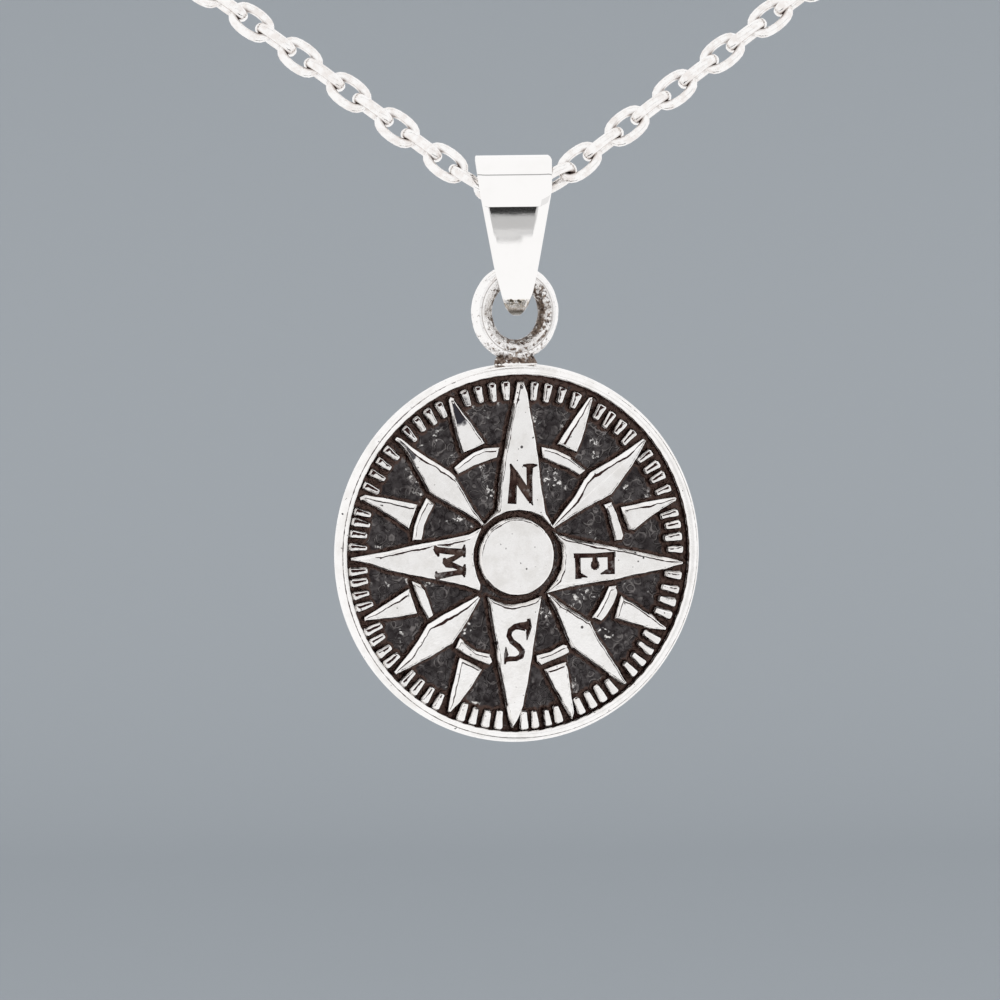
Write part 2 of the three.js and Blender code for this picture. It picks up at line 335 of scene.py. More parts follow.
def block(mesh_data, outline, height, size=1.0, wide=1.0, dark=1.0, rough=0.35, flat_line_shade=0.0):
    """Stands a block on the ground

    size scales its borders and wide its facets that face up. dark sets how dark the line in its
    corner is painted, oxide with a painted dark reflection that is strongest where the edge faces
    up, and the last argument paints the same dark reflection along the edge of its flat, which
    only small blocks have.
    """
    corners = [mesh_data.verts.new((x, y, GROUND - ROOT)) for x, y in outline]
    base = mesh_data.faces.new(corners)
    for edge in list(base.edges):
        cuts = int(edge.calc_length() / OUTLINE_STEP)
        if cuts:
            bmesh.ops.subdivide_edges(mesh_data, edges=[edge], cuts=cuts)
    for vert in base.verts:
        shift = noise.noise_vector(vert.co * WOBBLE_SCALE)
        vert.co.x += WOBBLE * shift.x
        vert.co.y += WOBBLE * shift.y
    grown = bmesh.ops.extrude_face_region(mesh_data, geom=[base])
    top_verts = only(bmesh.types.BMVert, grown)
    drop = FACET_DROP * size
    bmesh.ops.translate(mesh_data, verts=top_verts, vec=(0, 0, height + ROOT - drop))
    top = only(bmesh.types.BMFace, grown)[0]
    ring = [loop.vert.co.to_2d() for loop in top.loops]
    steps = inward_steps(ring)
    facing = [max(0, -step.normalized().dot(UPWARDS)) for step in steps]
    facets, lips = [], []
    for corner, up in zip(ring, facing):
        uneven = noise.noise(Vector((corner.x, corner.y, 7)) * 3)
        facets.append(size * (FACET_NARROW + FACET_WIDER * wide * up) * (1 + rough * uneven))
        jagged = noise.noise(Vector((corner.x, corner.y, 2)) * 1.1)
        lips.append(size * LIP_WIDTH * (1 + up * max(0, 0.7 + 2 * jagged)))
    shares = []
    for i, step in enumerate(steps):
        shares.append(min(1, 0.46 * room_inside(ring, i, step) / (facets[i] + 2 * lips[i])))
    for _ in range(2):
        around = zip(shares[-1:] + shares[:-1], shares, shares[1:] + shares[:1])
        shares = [min(here, (before + after) / 2 + 0.12) for before, here, after in around]
    edge_height = GROUND + height - drop
    for border, below in ((0, 0), (1, LIP_DROP), (2, LIP_DROP)):
        bmesh.ops.inset_region(mesh_data, faces=[top], thickness=0.001, use_even_offset=True)
        for i, loop in enumerate(top.loops):
            width = facets[i] + border * lips[i]
            loop.vert.co.xy = ring[i] + steps[i] * width * shares[i]
            loop.vert.co.z = edge_height + (drop - below * size) * shares[i]
            if border == 1:
                # The corner's line is painted dark: oxide there with a painted dark reflection, darker
                # where the edge faces up
                oxide_and_reflection_lines.append((loop.vert.co.copy(), dark * (0.42 + 0.6 * facing[i])))
            elif border == 2 and flat_line_shade:
                # The same painted dark reflection along the edge of the flat, on small blocks only
                oxide_and_reflection_lines.append((loop.vert.co.copy(), flat_line_shade * (0.1 + 0.9 * facing[i])))
    bmesh.ops.triangulate(mesh_data, faces=[top])


def mirrored_outline(rows):
    """A closed outline, the same on both sides of the way out, from distances and half widths"""
    right = [(half, out) for out, half in rows]
    left = [(-half, out) for out, half in reversed(rows) if half > 0]
    return right + left


# %% [markdown]
# ## Points, kites, spurs, bars and ticks
# Sixteen directions share the circle: four lettered points, four kites between them, and eight
# short spurs with an arc bar before each. The carver drew none of them twice alike, so each has
# its own outline, measured in millimetres from the plate's middle. Four ticks fill each gap
# along the rim, evenly between the tips on either side.

# %% Rose pieces
POINTS = [
    [
        (1.83, 1.26), (1.41, 2.04), (1.13, 3.74), (1.02, 4.93), (0.75, 6.70), (0.43, 8.48),
        (0.27, 9.03), (-0.09, 9.03), (-0.27, 8.09), (-0.52, 7.02), (-0.89, 5.23), (-1.15, 3.67),
        (-1.26, 2.33), (-2.06, 1.50), (-1.48, 1.93), (-0.79, 2.19), (-0.14, 2.25), (0.53, 2.15),
        (1.15, 1.89),
    ],
    [
        (2.24, 0.40), (2.31, -0.26), (2.21, -0.92), (1.95, -1.43), (1.34, -2.16), (2.10, -1.92),
        (3.48, -1.76), (5.28, -1.55), (6.25, -1.35), (7.85, -1.10), (9.00, -0.83), (9.00, -0.67),
        (8.34, -0.52), (7.30, -0.29), (5.92, 0.03), (4.60, 0.33), (3.23, 0.60), (2.13, 0.89),
        (1.82, 1.10),
    ],
    [
        (0.69, -2.46), (0.14, -2.62), (-0.41, -2.69), (-0.89, -2.66), (-1.50, -2.41), (-1.85, -2.23),
        (-1.68, -3.58), (-1.45, -4.90), (-1.30, -6.02), (-1.04, -7.34), (-0.78, -8.66), (-0.65, -9.13),
        (-0.56, -9.19), (-0.32, -8.88), (0.03, -8.04), (0.32, -6.73), (0.54, -5.55), (0.77, -4.11),
        (1.12, -2.28),
    ],
    [
        (-2.24, -1.57), (-2.47, -0.91), (-2.60, -0.25), (-2.58, 0.27), (-2.43, 0.79), (-2.15, 1.39),
        (-2.92, 1.03), (-3.94, 0.86), (-5.84, 0.59), (-7.33, 0.29), (-8.48, 0.12), (-9.28, 0.02),
        (-9.26, -0.11), (-8.35, -0.32), (-7.34, -0.69), (-6.00, -1.02), (-4.51, -1.33), (-3.22, -1.63),
        (-2.27, -1.95),
    ],
]
KITES = [
    [
        (-2.89, 2.99), (-3.49, 4.05), (-3.90, 4.42), (-5.04, 5.13), (-5.91, 5.71), (-6.48, 6.18),
        (-6.72, 6.27), (-6.81, 6.15), (-6.32, 5.62), (-5.92, 4.96), (-5.33, 3.90), (-5.06, 3.37),
        (-4.46, 2.97), (-3.24, 2.28), (-2.46, 1.77), (-2.11, 1.52), (-1.99, 1.61),
    ],
    [
        (2.41, 1.61), (3.52, 2.24), (5.05, 2.96), (5.61, 3.70), (6.17, 4.41), (6.59, 5.06),
        (7.02, 5.78), (6.84, 5.88), (6.04, 5.37), (5.07, 4.77), (3.89, 4.17), (3.54, 3.75),
        (3.05, 2.97), (1.76, 1.40), (1.84, 1.28),
    ],
    [
        (1.61, -2.63), (2.08, -3.56), (2.41, -4.43), (2.75, -5.10), (3.57, -5.69), (4.60, -6.45),
        (5.63, -7.18), (5.80, -7.05), (5.16, -5.94), (4.68, -5.23), (4.14, -4.42), (3.80, -3.72),
        (3.05, -3.23), (2.23, -2.71), (1.65, -2.27), (1.46, -2.20),
    ],
    [
        (-3.30, -2.64), (-4.26, -3.10), (-5.15, -3.60), (-5.63, -4.37), (-6.11, -5.00), (-7.01, -6.05),
        (-6.91, -6.18), (-6.06, -5.82), (-4.90, -5.27), (-3.80, -4.65), (-3.39, -4.08), (-2.83, -3.28),
        (-2.41, -2.57), (-2.24, -2.25), (-2.38, -2.19),
    ],
]
SPURS = [
    [
        (3.57, 6.25), (3.85, 7.29), (4.05, 8.01), (4.03, 8.14), (3.86, 8.12), (2.88, 6.82),
        (2.08, 5.68), (3.14, 5.21),
    ],
    [
        (6.27, 1.03), (6.97, 1.55), (7.81, 2.09), (8.62, 2.52), (8.67, 2.69), (8.55, 2.74),
        (7.33, 2.59), (5.56, 2.28), (5.97, 1.07),
    ],
    [
        (6.22, -3.95), (7.26, -4.26), (7.99, -4.35), (8.04, -4.16), (7.27, -3.50), (6.23, -2.80),
        (5.53, -2.40), (5.18, -3.61),
    ],
    [
        (1.59, -6.97), (2.03, -7.71), (2.64, -8.82), (2.74, -8.87), (2.86, -8.53), (2.66, -7.14),
        (2.53, -6.21), (2.43, -5.83), (1.22, -6.18),
    ],
    [
        (-3.83, -6.91), (-4.12, -8.23), (-4.00, -8.30), (-3.43, -7.75), (-2.88, -7.08), (-2.18, -6.04),
        (-3.42, -5.41),
    ],
    [
        (-7.37, -2.42), (-8.60, -3.13), (-8.56, -3.31), (-7.72, -3.25), (-6.70, -3.19), (-5.68, -3.02),
        (-6.13, -1.70),
    ],
    [
        (-7.30, 3.07), (-8.44, 3.28), (-8.74, 3.17), (-8.71, 3.02), (-7.84, 2.57), (-7.04, 2.06),
        (-6.14, 1.39), (-5.61, 2.70),
    ],
    [
        (-2.64, 6.97), (-3.18, 7.64), (-3.58, 8.22), (-3.77, 8.30), (-3.86, 8.14), (-3.69, 7.32),
        (-3.50, 6.34), (-3.14, 5.32), (-1.85, 5.83),
    ],
]
BARS = [
    [
        (1.27, 4.99), (2.03, 4.67), (2.65, 4.40), (3.26, 4.03), (3.63, 4.31), (2.73, 5.03),
        (1.97, 5.40), (1.22, 5.58),
    ],
    [
        (4.83, 2.07), (4.96, 1.54), (5.13, 0.88), (5.23, 0.51), (5.57, 0.54), (5.68, 0.80),
        (5.48, 1.46), (5.31, 1.99), (5.04, 2.56), (4.64, 2.44),
    ],
    [
        (4.54, -2.59), (4.22, -3.10), (3.88, -3.52), (4.39, -3.74), (4.77, -3.32), (5.09, -2.80),
        (5.32, -2.25), (5.26, -1.88), (4.86, -1.90),
    ],
    [
        (0.82, -5.76), (1.02, -5.96), (1.64, -5.72), (2.19, -5.54), (2.62, -5.31), (2.49, -4.96),
        (2.27, -4.90), (1.58, -5.26), (0.79, -5.43),
    ],
    [
        (-3.64, -4.90), (-3.13, -5.25), (-2.45, -5.60), (-1.84, -5.85), (-1.65, -5.68), (-1.76, -5.28),
        (-2.51, -5.11), (-2.99, -4.71), (-3.40, -4.39),
    ],
    [
        (-5.77, -1.94), (-5.48, -2.67), (-5.14, -3.32), (-4.84, -3.12), (-5.07, -2.42), (-5.29, -1.76),
        (-5.53, -1.48), (-5.98, -1.30),
    ],
    [
        (-5.53, 2.34), (-5.82, 1.57), (-5.92, 0.85), (-5.43, 0.83), (-5.27, 1.62), (-5.04, 2.13),
        (-4.72, 2.71), (-5.13, 3.04),
    ],
    [
        (-3.41, 4.25), (-3.01, 4.42), (-2.53, 4.67), (-1.85, 4.90), (-1.25, 5.05), (-1.10, 5.60),
        (-1.91, 5.57), (-2.52, 5.37), (-3.14, 4.97), (-3.61, 4.59),
    ],
]
BOSS_CENTRE = Vector((-0.256, -0.167))
TICKS_CENTRE = Vector((-0.2, -0.11))
TICKS_OUTER = 9.22
TICK_LENGTH = 1.0
TICK_WIDTH = 0.5
TICKS_IN_GAP = 4

# A tick's half widths on its way out, as shares of its length and width
TICK_ROWS = [(0, 0.2), (0.07, 0.35), (0.5, 0.42), (0.88, 0.5), (0.97, 0.4), (1, 0.2)]


def tip_angle(outline):
    """The direction of an outline's far end, from the middle of the ring of ticks"""
    places = [Vector(point) - TICKS_CENTRE for point in outline]
    far = max(place.length for place in places)
    tip = sum((place for place in places if place.length > far - 0.15), Vector((0, 0)))
    return math.degrees(math.atan2(-tip.x, tip.y)) % 360


def tick(mesh_data, angle, chance):
    length = TICK_LENGTH * chance.uniform(0.9, 1.06)
    width = TICK_WIDTH * chance.uniform(0.88, 1.04)
    start = TICKS_OUTER - length
    rows = [(start + share * length, half * width) for share, half in TICK_ROWS]
    lean = chance.uniform(-0.25, 0.25)
    outline = [point + TICKS_CENTRE for point in turned(mirrored_outline(rows), angle + lean)]
    # Ticks that point towards the upper left get darker painted lines in their corners and on their
    # flats: a painted dark reflection
    up = 0.5 + 0.5 * math.cos(math.radians(angle - 30))
    flat_line_shade = (0.42 + 0.68 * up) * chance.uniform(0.85, 1.1)
    block(mesh_data, outline, TICK_HEIGHT, 0.8, 0.15, 0.35 + 0.9 * up, 0.5, flat_line_shade)


def make_rose_parts():
    """Long points, the shorter pieces between them, and the ticks, as three sets of blocks"""
    points, between, ticks = bmesh.new(), bmesh.new(), bmesh.new()
    chance = random.Random(16)
    for outline, wide in zip(POINTS, (0.25, 0.5, 0.4, 0.9)):
        block(points, outline, POINT_HEIGHT, wide=wide)
    for outline, wide in zip(KITES, (1.6, 0.9, 0.9, 1.2)):
        block(between, outline, DIAGONAL_HEIGHT, wide=wide, dark=1.4)
    for outline, wide in zip(SPURS, (1, 0.8, 0.5, 0.5, 0.8, 0.8, 1.2, 0.8)):
        block(between, outline, SPUR_HEIGHT, wide=wide, dark=1.2)
    for outline in BARS:
        block(between, outline, BAR_HEIGHT, size=0.7)
    tips = sorted(tip_angle(outline) for outline in POINTS + KITES + SPURS)
    for start, end in zip(tips, tips[1:] + [tips[0] + 360]):
        for k in range(TICKS_IN_GAP):
            tick(ticks, start + (end - start) * (k + 1) / (TICKS_IN_GAP + 1), chance)
    names = ("points", "between", "ticks")
    parts = zip(names, (points, between, ticks))
    return [finish_piece(name, part, Matrix.Identity(4)) for name, part in parts]


def make_boss():
    """The round boss in the middle, a block like the others"""
    boss = bmesh.new()
    outline = arc(BOSS_CENTRE.x, BOSS_CENTRE.y, BOSS_RADIUS, 0, 360, 64)[:-1]
    block(boss, outline, BOSS_HEIGHT, wide=0.15, dark=0.8)
    return finish_piece("boss", boss, Matrix.Identity(4))


# %% [markdown]
# ## The letters
# N, E, S and W are cut into the four points, each with its top outwards, as on a sailor's card.
# A letter is a few pen strokes. Each stroke follows a line of knots with a width at every knot,
# so serifs, blobs and swelling curves come from the same short tables.

# %% Letters
LETTER_DEPTH = 0.3
STROKE_OVERLAP = 0.05
FLOOR_STEP = 0.001

# Each stroke is a row of knots: across, out and width in millimetres about the letter's middle
LETTER_N = [
    [(-0.53, -1.02, 0.5), (-0.47, -0.05, 0.42), (-0.55, 0.9, 0.12)],
    [(-0.6, 1.0, 0.1), (-0.42, 0.55, 0.42), (0.2, -0.38, 0.44), (0.45, -0.85, 0.28), (0.6, -1.12, 0.06)],
    [(0.5, -1.0, 0.2), (0.45, -0.6, 0.32), (0.43, 0.3, 0.32), (0.45, 0.8, 0.38)],
    [(0.12, 0.95, 0.1), (0.3, 0.93, 0.22), (0.47, 0.92, 0.26), (0.65, 0.93, 0.22), (0.82, 0.95, 0.1)],
]
LETTER_E = [
    [(-0.51, -1.12, 0.26), (-0.48, 0, 0.24), (-0.5, 1.1, 0.3)],
    [(-0.55, -0.96, 0.34), (0.2, -0.95, 0.3), (0.68, -0.94, 0.36)],
    [(0.64, -0.48, 0.06), (0.56, -0.74, 0.22), (0.52, -0.98, 0.3)],
    [(-0.45, 0, 0.3), (-0.2, 0, 0.28), (-0.1, 0, 0.42), (0.05, 0, 0.5), (0.17, 0, 0.4), (0.24, 0, 0.18)],
    [(-0.55, 0.9, 0.42), (0.5, 0.89, 0.4)],
    [(0.5, 0.34, 0.08), (0.42, 0.6, 0.24), (0.38, 0.95, 0.34)],
]
LETTER_S = [
    [
        (-0.64, -0.97, 0.28), (-0.4, -0.8, 0.5), (-0.12, -0.82, 0.38), (0.14, -0.79, 0.3),
        (0.4, -0.6, 0.28), (0.47, -0.32, 0.28), (0.3, -0.02, 0.3), (-0.04, 0.24, 0.32),
        (-0.27, 0.51, 0.32), (-0.21, 0.77, 0.3), (0.06, 0.9, 0.26), (0.44, 0.9, 0.28),
        (0.62, 0.97, 0.2),
    ],
    [(-0.62, -1.16, 0.2), (-0.66, -0.78, 0.28), (-0.58, -0.45, 0.22), (-0.53, -0.12, 0.06)],
    [(0.63, 0.31, 0.06), (0.61, 0.67, 0.26), (0.68, 1.13, 0.1)],
]
LETTER_W = [
    [(0.85, 0.8, 0.12), (0.72, 0.74, 0.34), (0.5, 0.66, 0.26), (0.36, 0.62, 0.1)],
    [(0.68, 0.7, 0.32), (0.6, 0.2, 0.34), (0.55, -0.45, 0.36), (0.55, -0.78, 0.3)],
    [(0.88, -0.8, 0.08), (0.72, -0.78, 0.2), (0.5, -0.76, 0.28), (0.3, -0.8, 0.12)],
    [(0.45, -0.7, 0.22), (0.2, -0.2, 0.28), (0.03, 0.17, 0.34)],
    [(0.2, 0.3, 0.14), (0.05, 0.25, 0.34), (-0.12, 0.12, 0.34), (-0.2, -0.1, 0.2)],
    [(-0.05, 0.1, 0.32), (-0.2, -0.3, 0.28), (-0.38, -0.72, 0.26)],
    [(-0.15, -0.82, 0.1), (-0.35, -0.78, 0.26), (-0.6, -0.76, 0.26), (-0.75, -0.8, 0.08)],
    [(-0.5, -0.75, 0.32), (-0.58, -0.2, 0.28), (-0.66, 0.3, 0.34), (-0.72, 0.7, 0.34)],
    [(-0.5, 0.74, 0.1), (-0.68, 0.7, 0.28), (-0.85, 0.66, 0.24), (-0.95, 0.62, 0.1)],
]

# Each letter with its middle and its turn in degrees
LETTERS = [
    (LETTER_N, (0.04, 3.69), -0.5),
    (LETTER_W, (-3.95, -0.36), 89.3),
    (LETTER_S, (-0.29, -4.65), 179.2),
    (LETTER_E, (4.05, -0.7), -89.4),
]


def stroke_pieces(knots, centre, angle):
    """The outline of each stretch of a pen stroke, a little longer than the stretch itself"""
    for (x1, y1, width1), (x2, y2, width2) in zip(knots, knots[1:]):
        start, end = Vector((x1, y1)), Vector((x2, y2))
        along = (end - start).normalized()
        side = Vector((-along.y, along.x)) / 2
        start, end = start - along * STROKE_OVERLAP, end + along * STROKE_OVERLAP
        corners = [start - side * width1, end - side * width2]
        corners += [end + side * width2, start + side * width1]
        yield [point + Vector(centre) for point in turned(corners, angle)]


def cut_letters(points):
    """Cuts every stretch out of the points' top faces as a straight prism

    Each floor lies a hair above the last, because a boolean dislikes two faces in one plane.
    """
    for letter, centre, angle in LETTERS:
        floor = GROUND + POINT_HEIGHT - LETTER_DEPTH
        for knots in letter:
            for outline in stroke_pieces(knots, centre, angle):
                cutter = bmesh.new()
                base = cutter.faces.new([cutter.verts.new((x, y, floor)) for x, y in outline])
                grown = bmesh.ops.extrude_face_region(cutter, geom=[base])
                top_verts = only(bmesh.types.BMVert, grown)
                bmesh.ops.translate(cutter, verts=top_verts, vec=(0, 0, 2 * LETTER_DEPTH))
                floor += FLOOR_STEP
                tool = finish_piece("stroke", cutter, Matrix.Identity(4))
                combine(points, tool, "DIFFERENCE")


# %% [markdown]
# ## The loop
# A ring of round wire was soldered on the plate's edge. Its section is not a plain circle: a
# fine groove parts the polished outer half from the rough inner half, so the section is a circle
# with one step in it, spun round and squeezed a little from the sides.

# %% Loop and solder
LOOP_WIRE = 1.1
LOOP_WIDTH = 4.76
LOOP_HEIGHT = 5.1
SOLDER_GAP = 0.15
SOLDER_SIZE = (2.3, 1.5, 1.15)
GROOVE_DEPTH = 0.05
LOOP_STEPS = 96
LOOP_CENTRE = DISC_RADIUS + SOLDER_GAP + LOOP_HEIGHT / 2


def loop_section():
    """Points round the wire, the groove lying a little inside the middle, front and back"""
    points = []
    for i in range(24):
        angle = 2 * math.pi * i / 24
        radius = LOOP_WIRE / 2
        if i in (5, 19):
            radius -= GROOVE_DEPTH
        points.append((radius * math.cos(angle), radius * math.sin(angle)))
    return points


def make_loop():
    loop = bmesh.new()
    middle = (LOOP_HEIGHT - LOOP_WIRE) / 2
    section = [(middle + out, 0, z) for out, z in loop_section()]
    spin_profile(loop, section, LOOP_STEPS, closed=True)
    squeeze = (LOOP_WIDTH - LOOP_WIRE) / (LOOP_HEIGHT - LOOP_WIRE)
    for vert in loop.verts:
        x, y, z = vert.co
        flat = Vector((x, y)).normalized()
        vert.co.x -= flat.x * middle * (1 - squeeze)
        rough = 0.025 * noise.noise(Vector((x, y, z)) * 2.2)
        vert.co.x += flat.x * rough
        vert.co.y += flat.y * rough + LOOP_CENTRE
    return finish_piece("loop", loop, Matrix.Identity(4))


def make_solder():
    solder = bmesh.new()
    bmesh.ops.create_icosphere(solder, subdivisions=4, radius=0.5)
    bmesh.ops.scale(solder, vec=SOLDER_SIZE, verts=solder.verts)
    for vert in solder.verts:
        vert.co += vert.normal * (0.07 * noise.noise(vert.co * 3) + 0.05 * noise.noise(vert.co * 8))
        vert.co.y += DISC_RADIUS
    return finish_piece("solder", solder, Matrix.Identity(4))


# %% [markdown]
# ## One casting
# The pieces are joined into one closed body with booleans. Oxide gathers where a raised piece
# meets the ground, so each ground vertex then learns how near the next wall is, and keeps it
# as an attribute that the material reads.

# %% Medallion in one piece
FOOT_REACH = 0.34


def mark_feet(body):
    """Writes 1 at the foot of a wall, falling to 0 a little way off, on the medallion's ground"""
    mesh = body.data
    high = [vert.co for vert in mesh.vertices if vert.co.z > GROUND + 0.22]
    walls = kdtree.KDTree(len(high))
    for i, place in enumerate(high):
        walls.insert((place.x, place.y, 0), i)
    walls.balance()
    feet = mesh.attributes.new("foot", "FLOAT", "POINT")
    for vert in mesh.vertices:
        distance = walls.find((vert.co.x, vert.co.y, 0))[2]
        feet.data[vert.index].value = max(0, 1 - distance / FOOT_REACH)


def mark_oxide_and_reflection_lines(body):
    """Writes how dark the line in the corners behind the facets is painted, oxide with a painted dark
    reflection, and 1 on the flats inside
    """
    mesh = body.data
    tree = kdtree.KDTree(len(oxide_and_reflection_lines))
    for i, (place, _) in enumerate(oxide_and_reflection_lines):
        tree.insert(place, i)
    tree.balance()
    dark = mesh.attributes.new("oxide_and_reflection_line", "FLOAT", "POINT")
    for vert in mesh.vertices:
        _, i, distance = tree.find(vert.co)
        dark.data[vert.index].value = oxide_and_reflection_lines[i][1] if distance < 1e-3 else 0
    flat = mesh.attributes.new("flat", "FLOAT", "FACE")
    for face in mesh.polygons:
        flat.data[face.index].value = float(face.normal.z > 0.99 and face.center.z > GROUND + 0.3)


def mark_loop(body):
    """Gives the loop and its solder the second material"""
    for face in body.data.polygons:
        face.material_index = int(face.center.xy.length > DISC_RADIUS + 0.03)


MEDALLION_TURN = 16.7
loop_wire_place = joint_place["medallion_swing"]
loop_top = LOOP_CENTRE + (LOOP_HEIGHT - LOOP_WIRE) / 2

medallion_place = (
    Matrix.Translation(loop_wire_place)
    @ Matrix.Rotation(math.radians(MEDALLION_TURN), 4, "Z")
    @ Matrix.Rotation(math.radians(90), 4, "X")
    @ Matrix.Scale(MM, 4)
    @ Matrix.Translation((0, -loop_top, 0))
)

medallion = make_plate()
points, between, ticks = make_rose_parts()
cut_letters(points)
boss = make_boss()
for part in (points, between, ticks, boss):
    combine(medallion, part, "UNION")
combine(medallion, make_solder(), "UNION")
combine(medallion, make_loop(), "UNION")
medallion.name = "cast_medallion"
mark_feet(medallion)
mark_oxide_and_reflection_lines(medallion)
mark_loop(medallion)
medallion.data.transform(medallion_place)
smooth(medallion, 21)
hand_over(medallion, "medallion", "medallion")

# %% [markdown]
# ## The bail
# One tapered strip of sheet is folded over the chain and its ends meet under the loop. Seen from
# the side it is a closed ring, wide above and narrow below. So the ring is drawn first, pulled
# out sideways in columns, and each column is drawn in by the strip's taper. The strip is flat in
# the middle and falls away softly towards its edges.

# %% Bail
SHEET = 0.5
CHAIN_WIDTH = 1.75
CHAIN_PLAY = 0.12
FOLD_RADIUS = 1.9
BAIL_WIDTH = 4.06
BAIL_HEIGHT = 8.43
CRADLE_THICKNESS = 1.05
CRADLE_SIDE = 0.45
CRADLE_RADIUS = LOOP_WIRE / 2 + 0.9
BAIL_COLUMNS = 26
BAIL_FLAT = (0.83, 0.7)
BAIL_CROWN = 1.8
BAIL_ROUNDING = 0.16
FOLD_CENTRE = CHAIN_WIDTH / 2 + CHAIN_PLAY - FOLD_RADIUS
BAIL_TOP = FOLD_CENTRE + FOLD_RADIUS + SHEET
BAIL_TIP = BAIL_TOP - BAIL_HEIGHT

# The strip's two edges: share of the way down, then how far left and right of the middle in mm
BAIL_EDGES = [
    (0.0, 1.97, 1.83),
    (0.012, 2.0, 1.96),
    (0.03, 2.0, 2.03),
    (0.21, 1.79, 2.01),
    (0.25, 1.74, 1.96),
    (0.7, 1.06, 1.25),
    (0.86, 0.71, 0.96),
    (0.9, 0.63, 0.85),
    (0.952, 0.5, 0.7),
    (0.981, 0.33, 0.55),
    (1.0, 0.12, 0.36),
]


def edges_at(share):
    """How far left and right the strip reaches at a share of the way down"""
    for (above, *wide), (below, *narrow) in zip(BAIL_EDGES, BAIL_EDGES[1:]):
        if share <= below:
            along = (share - above) / (below - above)
            return [a + (b - a) * along for a, b in zip(wide, narrow)]
    return BAIL_EDGES[-1][1:]


def fold_points(top_radius, top_centre, low_radius, low_centre):
    """A fold from the side: two round ends and evenly cut straight leaves"""
    lean = math.degrees(math.asin((top_radius - low_radius) / (top_centre - low_centre)))
    upper = arc(0, top_centre, top_radius, -lean, 180 + lean, 36)
    lower = arc(0, low_centre, low_radius, 180 + lean, 360 - lean, 36)
    shares = [0.008] + [i / 12 for i in range(1, 12)] + [0.992]
    down = [Vector(upper[-1]).lerp(Vector(lower[0]), share) for share in shares]
    up = [Vector(lower[-1]).lerp(Vector(upper[0]), share) for share in shares]
    return upper + down + lower + up


def make_bail():
    bail = bmesh.new()
    low_radius = CRADLE_RADIUS + CRADLE_SIDE
    outer = fold_points(FOLD_RADIUS + SHEET, FOLD_CENTRE, low_radius, BAIL_TIP + low_radius)
    floor = BAIL_TIP + CRADLE_THICKNESS
    inner = fold_points(FOLD_RADIUS, FOLD_CENTRE, CRADLE_RADIUS, floor + CRADLE_RADIUS)
    loops = []
    for outline in (outer, inner):
        verts = [bail.verts.new((-1, y, z)) for y, z in outline]
        loops.append([bail.edges.new((verts[i], verts[i - 1])) for i in range(len(verts))])
    outside = {(round(y, 4), round(z, 4)) for y, z in outer}
    ring = bmesh.ops.bridge_loops(bail, edges=loops[0] + loops[1])["faces"]
    column = ring
    for _ in range(BAIL_COLUMNS):
        grown = bmesh.ops.extrude_face_region(bail, geom=column)
        verts = only(bmesh.types.BMVert, grown)
        bmesh.ops.translate(bail, verts=verts, vec=(2 / BAIL_COLUMNS, 0, 0))
        if column is not ring:
            bmesh.ops.delete(bail, geom=column, context="FACES_ONLY")
        column = only(bmesh.types.BMFace, grown)
    for vert in bail.verts:
        across, y, z = vert.co
        left, right = edges_at((BAIL_TOP - z) / BAIL_HEIGHT)
        vert.co.x = across * (right if across > 0 else left)
        middle = max(BAIL_TIP + low_radius, min(FOLD_CENTRE, z))
        outward = Vector((y, z - middle)).normalized()
        if (round(y, 4), round(z, 4)) in outside:
            edge = max(0, abs(across) - BAIL_FLAT[across > 0])
            crown = BAIL_CROWN * edge**2 * (1 - max(0, outward.y))
            vert.co.y -= outward.x * crown
            vert.co.z -= outward.y * crown
    place = Matrix.Translation(joint_place["bail_swing"]) @ Matrix.Scale(MM, 4)
    return finish_piece("folded_bail", bail, place)


bail = make_bail()
rounding = bail.modifiers.new("rounded edges", "BEVEL")
rounding.width = BAIL_ROUNDING * MM
rounding.segments = 4
rounding.limit_method = "ANGLE"
rounding.angle_limit = math.radians(50)
settle(bail)
smooth(bail, 40)
hand_over(bail, "bail", "bail")

# %% [markdown]
# ## The chain
# A cable chain is one oval link many times over, each turned a quarter turn from the last, so
# that every link holds the next. One link is spun from a flattened section and stretched to an
# oval. The loop then walks along the chain's route and sets a copy at each step. A link keeps
# few faces, since there are nearly three hundred, and a subdivision rounds them all at once.

# %% Chain
LINK_LENGTH = 2.58
LINK_WIDTH = 1.75
LINK_WIRE = 0.5
LINK_STEPS = 12
WIRE_GROWTH = 1.16
OVAL_GROWTH = 1.03
LINK_PITCH = 1.57
LINK_SHIFT = -0.04
LINK_LEAN = -14
CLASP_LENGTH = 8

# Right half of the chain's way, in millimetres, from beside the bail up to the clasp
CHAIN_ROUTE = [
    (1.82, -122, -102.66),
    (13.5, -121.7, -94.0),
    (21.3, -121.2, -88.43),
    (38, -116, -76.3),
    (51.5, -99.5, -58),
    (57.5, -69, -34.5),
    (52, -34, -13.5),
    (32.5, -9, -2),
    (14, -0.8, 0),
    (4.3, 0, 0),
]


